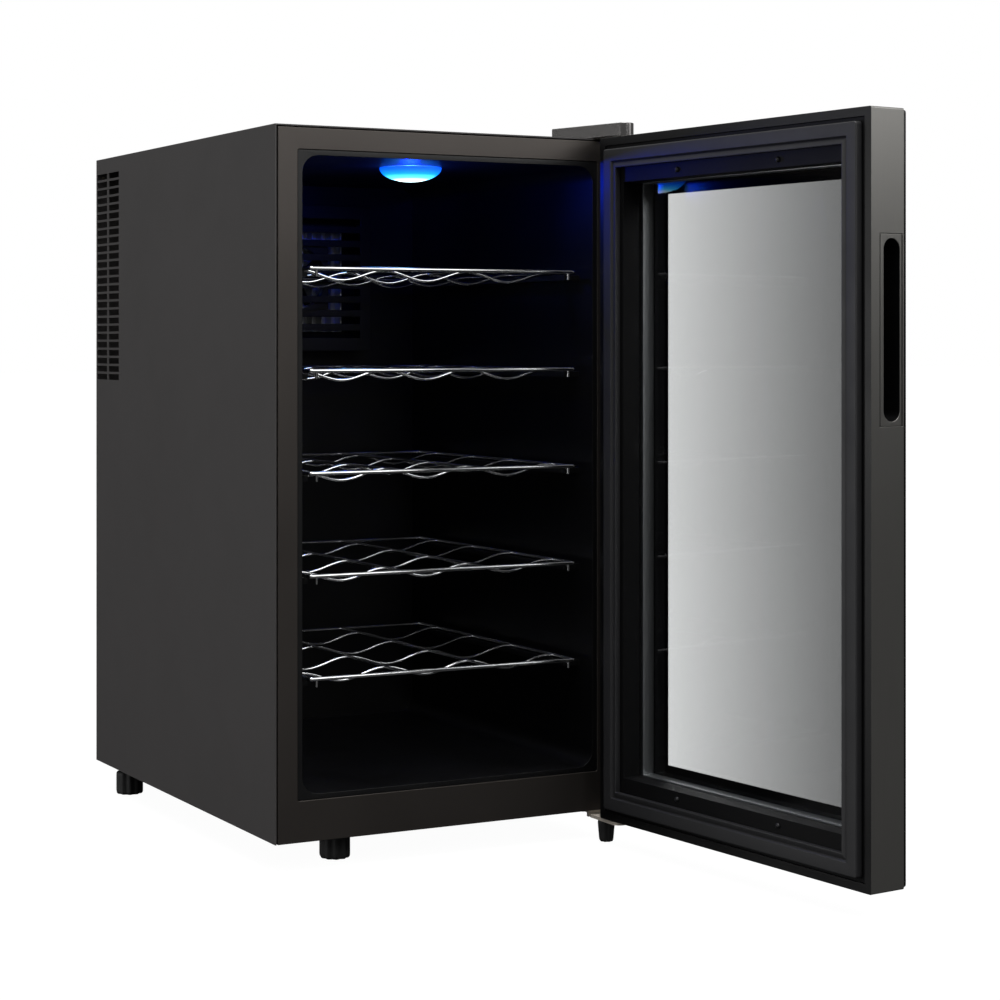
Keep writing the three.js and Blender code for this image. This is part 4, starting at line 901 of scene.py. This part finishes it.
class LampOperator(bpy.types.Operator):
    """Makes the lit lens under the ceiling and its board"""
    bl_idname = "cooler.lamp"
    bl_label = "Ceiling lamp"

    def execute(self, context):
        low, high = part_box("lamp_lens")
        radius = (high.x - low.x) / 2
        drop = high.z - low.z
        wall = 1.6 * MM
        steps = 14
        angles = np.linspace(0, math.pi / 2, steps)
        outer = [(radius * math.sin(a), high.z - drop * math.cos(a)) for a in angles]
        inner = [((radius - wall) * math.sin(a), high.z - (drop - wall) * math.cos(a)) for a in angles[::-1]]
        centre = ((low.x + high.x) / 2, (low.y + high.y) / 2)
        bm = turned(bmesh.new(), outer + inner, centre, 64)
        dome = piece("lamp_dome", bm, finish(lit_lens), CABINET, ["lamp_lens"], 60)
        dome.visible_shadow = False  # the light inside shines through it
        paint("led_board", finish(sintered_ceramic))
        glow = bpy.data.lights.new("lamp_glow", "POINT")
        glow.color = tint("lamp")
        glow.energy = 0.45
        glow.shadow_soft_size = 0.006
        holder = bpy.data.objects.new("lamp_glow", glow)
        holder.location = (centre[0], centre[1], low.z + 0.006)
        context.scene.collection.objects.link(holder)
        return {"FINISHED"}


class CoolingUnitOperator(bpy.types.Operator):
    """Finishes the thermoelectric unit, fans, supply, boards and inlet"""
    bl_idname = "cooler.cooling_unit"
    bl_label = "Cooling unit"

    def execute(self, context):
        sizes = context.scene.cooler_sizes
        plastic = finish(moulded_abs)
        metal = finish(bare_aluminium)
        for node in ("cold_side_heatsink", "hot_side_heatsink"):
            finer(node, metal, CABINET, 0.2 * MM)
        paint("cold_block", metal)
        paint("peltier_module", finish(sintered_ceramic))
        for node in ("cold_fan_frame", "hot_fan_frame"):
            finer(node, plastic, CABINET, 0.3 * MM)
        for node, body in (("cold_fan_rotor", "cold_fan"), ("hot_fan_rotor", "hot_fan")):
            finer(node, plastic, body, 0.25 * MM)
        finer("inner_fan_cover", plastic, CABINET, sizes.moulded_edge)
        finer("inlet_socket", plastic, CABINET, 0.4 * MM)
        finer("power_supply_case", finish(zinc_plate), CABINET, 0.4 * MM)
        finer("control_board", finish(solder_masked_board), CABINET, 0.3 * MM)
        low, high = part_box("rear_fan_guard")
        centre = (low + high) / 2
        values = {"Wire": high.y - low.y, "Reach": (high.x - low.x) / 2}
        tree = guard_tree(plastic)
        grown("fan_guard_wires", tree, values, CABINET, ["rear_fan_guard"], [centre])
        return {"FINISHED"}


class DoorOperator(bpy.types.Operator):
    """Makes the door's frames, panes, spacer and seal"""
    bl_idname = "cooler.door"
    bl_label = "Door"

    def execute(self, context):
        sizes = context.scene.cooler_sizes
        self.trim(sizes)
        finer("door_inner_frame", finish(matt_abs), DOOR, sizes.moulded_edge)
        finer("inner_glass", finish(clear_glass), DOOR, sizes.sheet_edge)
        finer("outer_glass", finish(bordered_glass), DOOR, sizes.moulded_edge)
        finer("glass_spacer", finish(bare_aluminium), DOOR, 0.3 * MM)
        self.seal()
        return {"FINISHED"}

    def trim(self, sizes):
        """Door frame: satin metal on the outer faces, black moulding inside."""
        bm = soften(cad_mesh("door_frame"), sizes.moulded_edge, 3)
        low, high = door_box("door_frame")
        turn = TO_DOOR.to_3x3()
        skin = 1.2 * MM  # faces within this of the outline are metal
        for face in bm.faces:
            place = TO_DOOR @ face.calc_center_median()
            facing = turn @ face.normal
            near = min(place.x - low.x, high.x - place.x, place.z - low.z, high.z - place.z)
            face.material_index = 0 if near < skin and abs(facing.y) < 0.8 else 1
        made = [finish(satin_door_trim), finish(moulded_abs)]
        piece("door_trim", bm, made, DOOR, ["door_frame"])

    def seal(self):
        """Soft gasket: a flat magnet pocket, a groove and a thin inner lip, mitred at the corners."""
        low, high = door_box("door_gasket")
        width = 17.5 * MM
        proud = high.y
        foot = proud - 6.3 * MM
        root = low.y
        section = (
            (0.0, foot), (0.0, proud - 1.2 * MM), (0.4 * MM, proud - 0.35 * MM), (1.3 * MM, proud),
            (10.6 * MM, proud), (11.4 * MM, proud - 0.5 * MM), (11.8 * MM, proud - 1.7 * MM),
            (12.6 * MM, proud - 2.1 * MM), (13.6 * MM, proud - 1.5 * MM), (16.4 * MM, proud - 0.6 * MM),
            (17.2 * MM, proud - 0.9 * MM), (width, proud - 1.8 * MM), (17.1 * MM, foot),
            (11.25 * MM, foot), (11.25 * MM, root), (6.25 * MM, root), (6.25 * MM, foot),
        )
        loops = []
        for inset, depth in section:
            radius = max(2.5 * MM - inset, 0.4 * MM)
            outline = rounded_rectangle(low.x + inset, high.x - inset, low.z + inset, high.z - inset, radius)
            loops.append([FROM_DOOR @ Vector((x, depth, z)) for x, z in outline])
        bm = ring(bmesh.new(), loops)
        piece("soft_seal", bm, finish(soft_pvc), DOOR, ["door_gasket"], 50)


class GripOperator(bpy.types.Operator):
    """Makes the finger grip let into the free edge"""
    bl_idname = "cooler.grip"
    bl_label = "Finger grip"

    def execute(self, context):
        bm = soften(cad_mesh("handle_cup"), context.scene.cooler_sizes.sheet_edge, 3)
        free_edge = door_box("handle_cup")[0].x
        rim = 0.6 * MM
        for face in bm.faces:
            inward = (TO_DOOR @ face.calc_center_median()).x - free_edge
            face.material_index = 0 if inward < rim else 1
        made = [finish(satin_door_trim), finish(moulded_abs)]
        piece("grip_cup", bm, made, DOOR, ["handle_cup"])
        return {"FINISHED"}


class ControlsOperator(bpy.types.Operator):
    """Makes the touch board and the display on the outer pane's border"""
    bl_idname = "cooler.controls"
    bl_label = "Touch controls"

    def execute(self, context):
        paint("touch_board", finish(solder_masked_board))
        low, high = door_box("touch_board")
        pane = door_box("outer_glass")[0].y
        centre = Vector(((low.x + high.x) / 2, pane, (low.z + high.z) / 2))
        bm = bmesh.new()
        for digit, shift in ((1, -5.2), (2, 5.2)):
            self.digit(bm, digit, centre + Vector((shift * MM, 0, 0)))
        for side in (-1, 1):
            self.arrow(bm, centre + Vector((side * 26 * MM, 0, 0)), side)
        for corner in bm.verts:
            corner.co = FROM_DOOR @ corner.co
        bmesh.ops.recalc_face_normals(bm, faces=bm.faces)
        piece("display_segments", bm, finish(lit_display), DOOR)
        return {"FINISHED"}

    def bar(self, bm, centre, length, thick, level):
        """A bar with pointed ends, level or upright, given by half its length and thickness."""
        side = length - thick
        plan = [(-length, 0), (-side, -thick), (side, -thick), (length, 0), (side, thick), (-side, thick)]
        self.plate(bm, centre, plan if level else [(-z, x) for x, z in plan])

    def plate(self, bm, centre, plan):
        """A thin raised plate on the pane, with the given outline."""
        proud = 0.12 * MM
        rows = [[bm.verts.new(centre + Vector((x, y, z))) for x, z in plan] for y in (-proud, -0.02 * MM)]
        bm.faces.new(rows[0])
        bm.faces.new(rows[1][::-1])
        for k in range(len(plan)):
            n = (k + 1) % len(plan)
            bm.faces.new((rows[0][k], rows[1][k], rows[1][n], rows[0][n]))

    def digit(self, bm, number, centre):
        """A seven-segment figure, 10 mm tall."""
        lit = {1: "bc", 2: "abged"}[number]
        wide, tall, thick = 2.6 * MM, 4.8 * MM, 0.55 * MM
        places = {
            "a": (0, tall, True), "g": (0, 0, True), "d": (0, -tall, True),
            "b": (wide, tall / 2, False), "c": (wide, -tall / 2, False), "e": (-wide, -tall / 2, False),
        }
        for name in lit:
            x, z, level = places[name]
            reach = 0.9 * (wide if level else tall / 2)
            self.bar(bm, centre + Vector((x, 0, z)), reach, thick, level)

    def arrow(self, bm, centre, side):
        """A small triangle that points up or down."""
        half = 2.4 * MM
        self.plate(bm, centre, [(-half, -half * side), (half, -half * side), (0, half * side)])


class HingesOperator(bpy.types.Operator):
    """Makes the hinge cover, brackets, pins and bushes"""
    bl_idname = "cooler.hinges"
    bl_label = "Hinges"

    def execute(self, context):
        zinc = finish(zinc_plate)
        trim = brushed("satin_steel_cover", linear("#838180"), 1, (0.14, 0.2), 0.06, 1.0)
        finer("top_hinge_cover", trim, CABINET, 1.0 * MM, segments=4)
        # the lower bracket's pale cream finish is painted light from the floor below
        finer("bottom_hinge_bracket", finish(painted_floor_light_zinc), CABINET, 0.4 * MM)
        for node in ("top_hinge_bracket", "top_hinge_pin", "bottom_hinge_pin"):
            finer(node, zinc, CABINET, 0.4 * MM)
        for node in ("door_bush_top", "door_bush_bottom"):
            finer(node, finish(white_nylon), DOOR, 0.3 * MM)
        return {"FINISHED"}


class ScrewsOperator(bpy.types.Operator):
    """Sets the cross-head screws of the rear panel, hinges and inner rails"""
    bl_idname = "cooler.screws"
    bl_label = "Screws"

    def execute(self, context):
        zinc = (finish(zinc_plate), "zinc_steel")
        black = (finish(blackened_steel), "black_steel")
        quarter = math.pi / 2
        groups = (
            ("rear_screw", CABINET, zinc, Vector((0, 1, 0)), (-quarter, 0.0, 0.0)),
            ("top_hinge_screw", CABINET, zinc, Vector((0, 0, 1)), (0.0, 0.0, 0.0)),
            ("bottom_hinge_screw", CABINET, zinc, Vector((0, 0, -1)), (math.pi, 0.0, 0.0)),
            ("rail_screw", DOOR, black, FROM_DOOR.to_3x3() @ Vector((0, 1, 0)), (-quarter, 0.0, DOOR_ANGLE)),
        )
        for prefix, body, (metal, slot), out, turn in groups:
            nodes = sorted(name for name in frame["nodes"] if name.startswith(prefix + "_"))
            tree = screw_tree(prefix + "_heads", metal)
            points, radius, height = [], 0, 2.2 * MM
            for node in nodes:
                corners = [v.co for v in frame["nodes"][node].data.vertices]
                reach = max(c @ out for c in corners)
                tip = [c for c in corners if reach - c @ out < 0.01 * MM]
                middle = sum(tip, Vector()) / len(tip)
                ring_points = [c - middle - out * ((c - middle) @ out) for c in tip]
                radius = max(p.length for p in ring_points)
                points.append(middle - out * height)
            values = {"Head Radius": radius, "Head Height": height, "Turn": turn}
            grown(prefix + "_heads", tree, values, body, nodes, points)
        return {"FINISHED"}


class FeetOperator(bpy.types.Operator):
    """Makes the fluted levelling feet and the small foot under the hinge"""
    bl_idname = "cooler.feet"
    bl_label = "Feet"

    def execute(self, context):
        tree = foot_tree(finish(moulded_rubber))
        for name in sorted(node for node in frame["nodes"] if node.startswith("foot_")):
            low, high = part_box(name)
            centre = (low + high) / 2
            values = {"Radius": (high.x - low.x) / 2, "Bottom": low.z, "Top": -4 * MM, "Stud Top": high.z}
            if name == "foot_front_right":
                values.update({"Top": -7.1 * MM, "Stud Radius": 3 * MM, "Taper": 0.2})
                values.update({"Flutes": 8, "Flute Depth": 0.8 * MM})
            grown(name + "_grip", tree, values, name, [name], [(centre.x, centre.y, 0)])
        return {"FINISHED"}


OPERATORS = (
    StageOperator, CabinetOperator, ShelvesOperator, LampOperator, CoolingUnitOperator, DoorOperator,
    GripOperator, ControlsOperator, HingesOperator, ScrewsOperator, FeetOperator,
)


class CoolerPanel(bpy.types.Panel):
    """Lists the makers of the cooler's pieces"""
    bl_idname = "VIEW3D_PT_wine_cooler"
    bl_label = "Wine Cooler"
    bl_space_type = "VIEW_3D"
    bl_region_type = "UI"
    bl_category = "Wine Cooler"

    def draw(self, context):
        for group in (context.scene.cooler_sizes, context.scene.cooler_colours):
            for key in group.__annotations__:
                self.layout.prop(group, key)
        for operator in OPERATORS:
            self.layout.operator(operator.bl_idname)


CLASSES = (CoolerSizes, CoolerColours) + OPERATORS + (CoolerPanel,)


def register():
    for each in CLASSES:
        bpy.utils.register_class(each)
    bpy.types.Scene.cooler_sizes = bpy.props.PointerProperty(type=CoolerSizes)
    bpy.types.Scene.cooler_colours = bpy.props.PointerProperty(type=CoolerColours)


def unregister():
    del bpy.types.Scene.cooler_colours
    del bpy.types.Scene.cooler_sizes
    for each in reversed(CLASSES):
        bpy.utils.unregister_class(each)


def main():
    register()
    for operator in OPERATORS:
        group, name = operator.bl_idname.split(".")
        getattr(getattr(bpy.ops, group), name)()


if __name__ == "__main__":
    main()
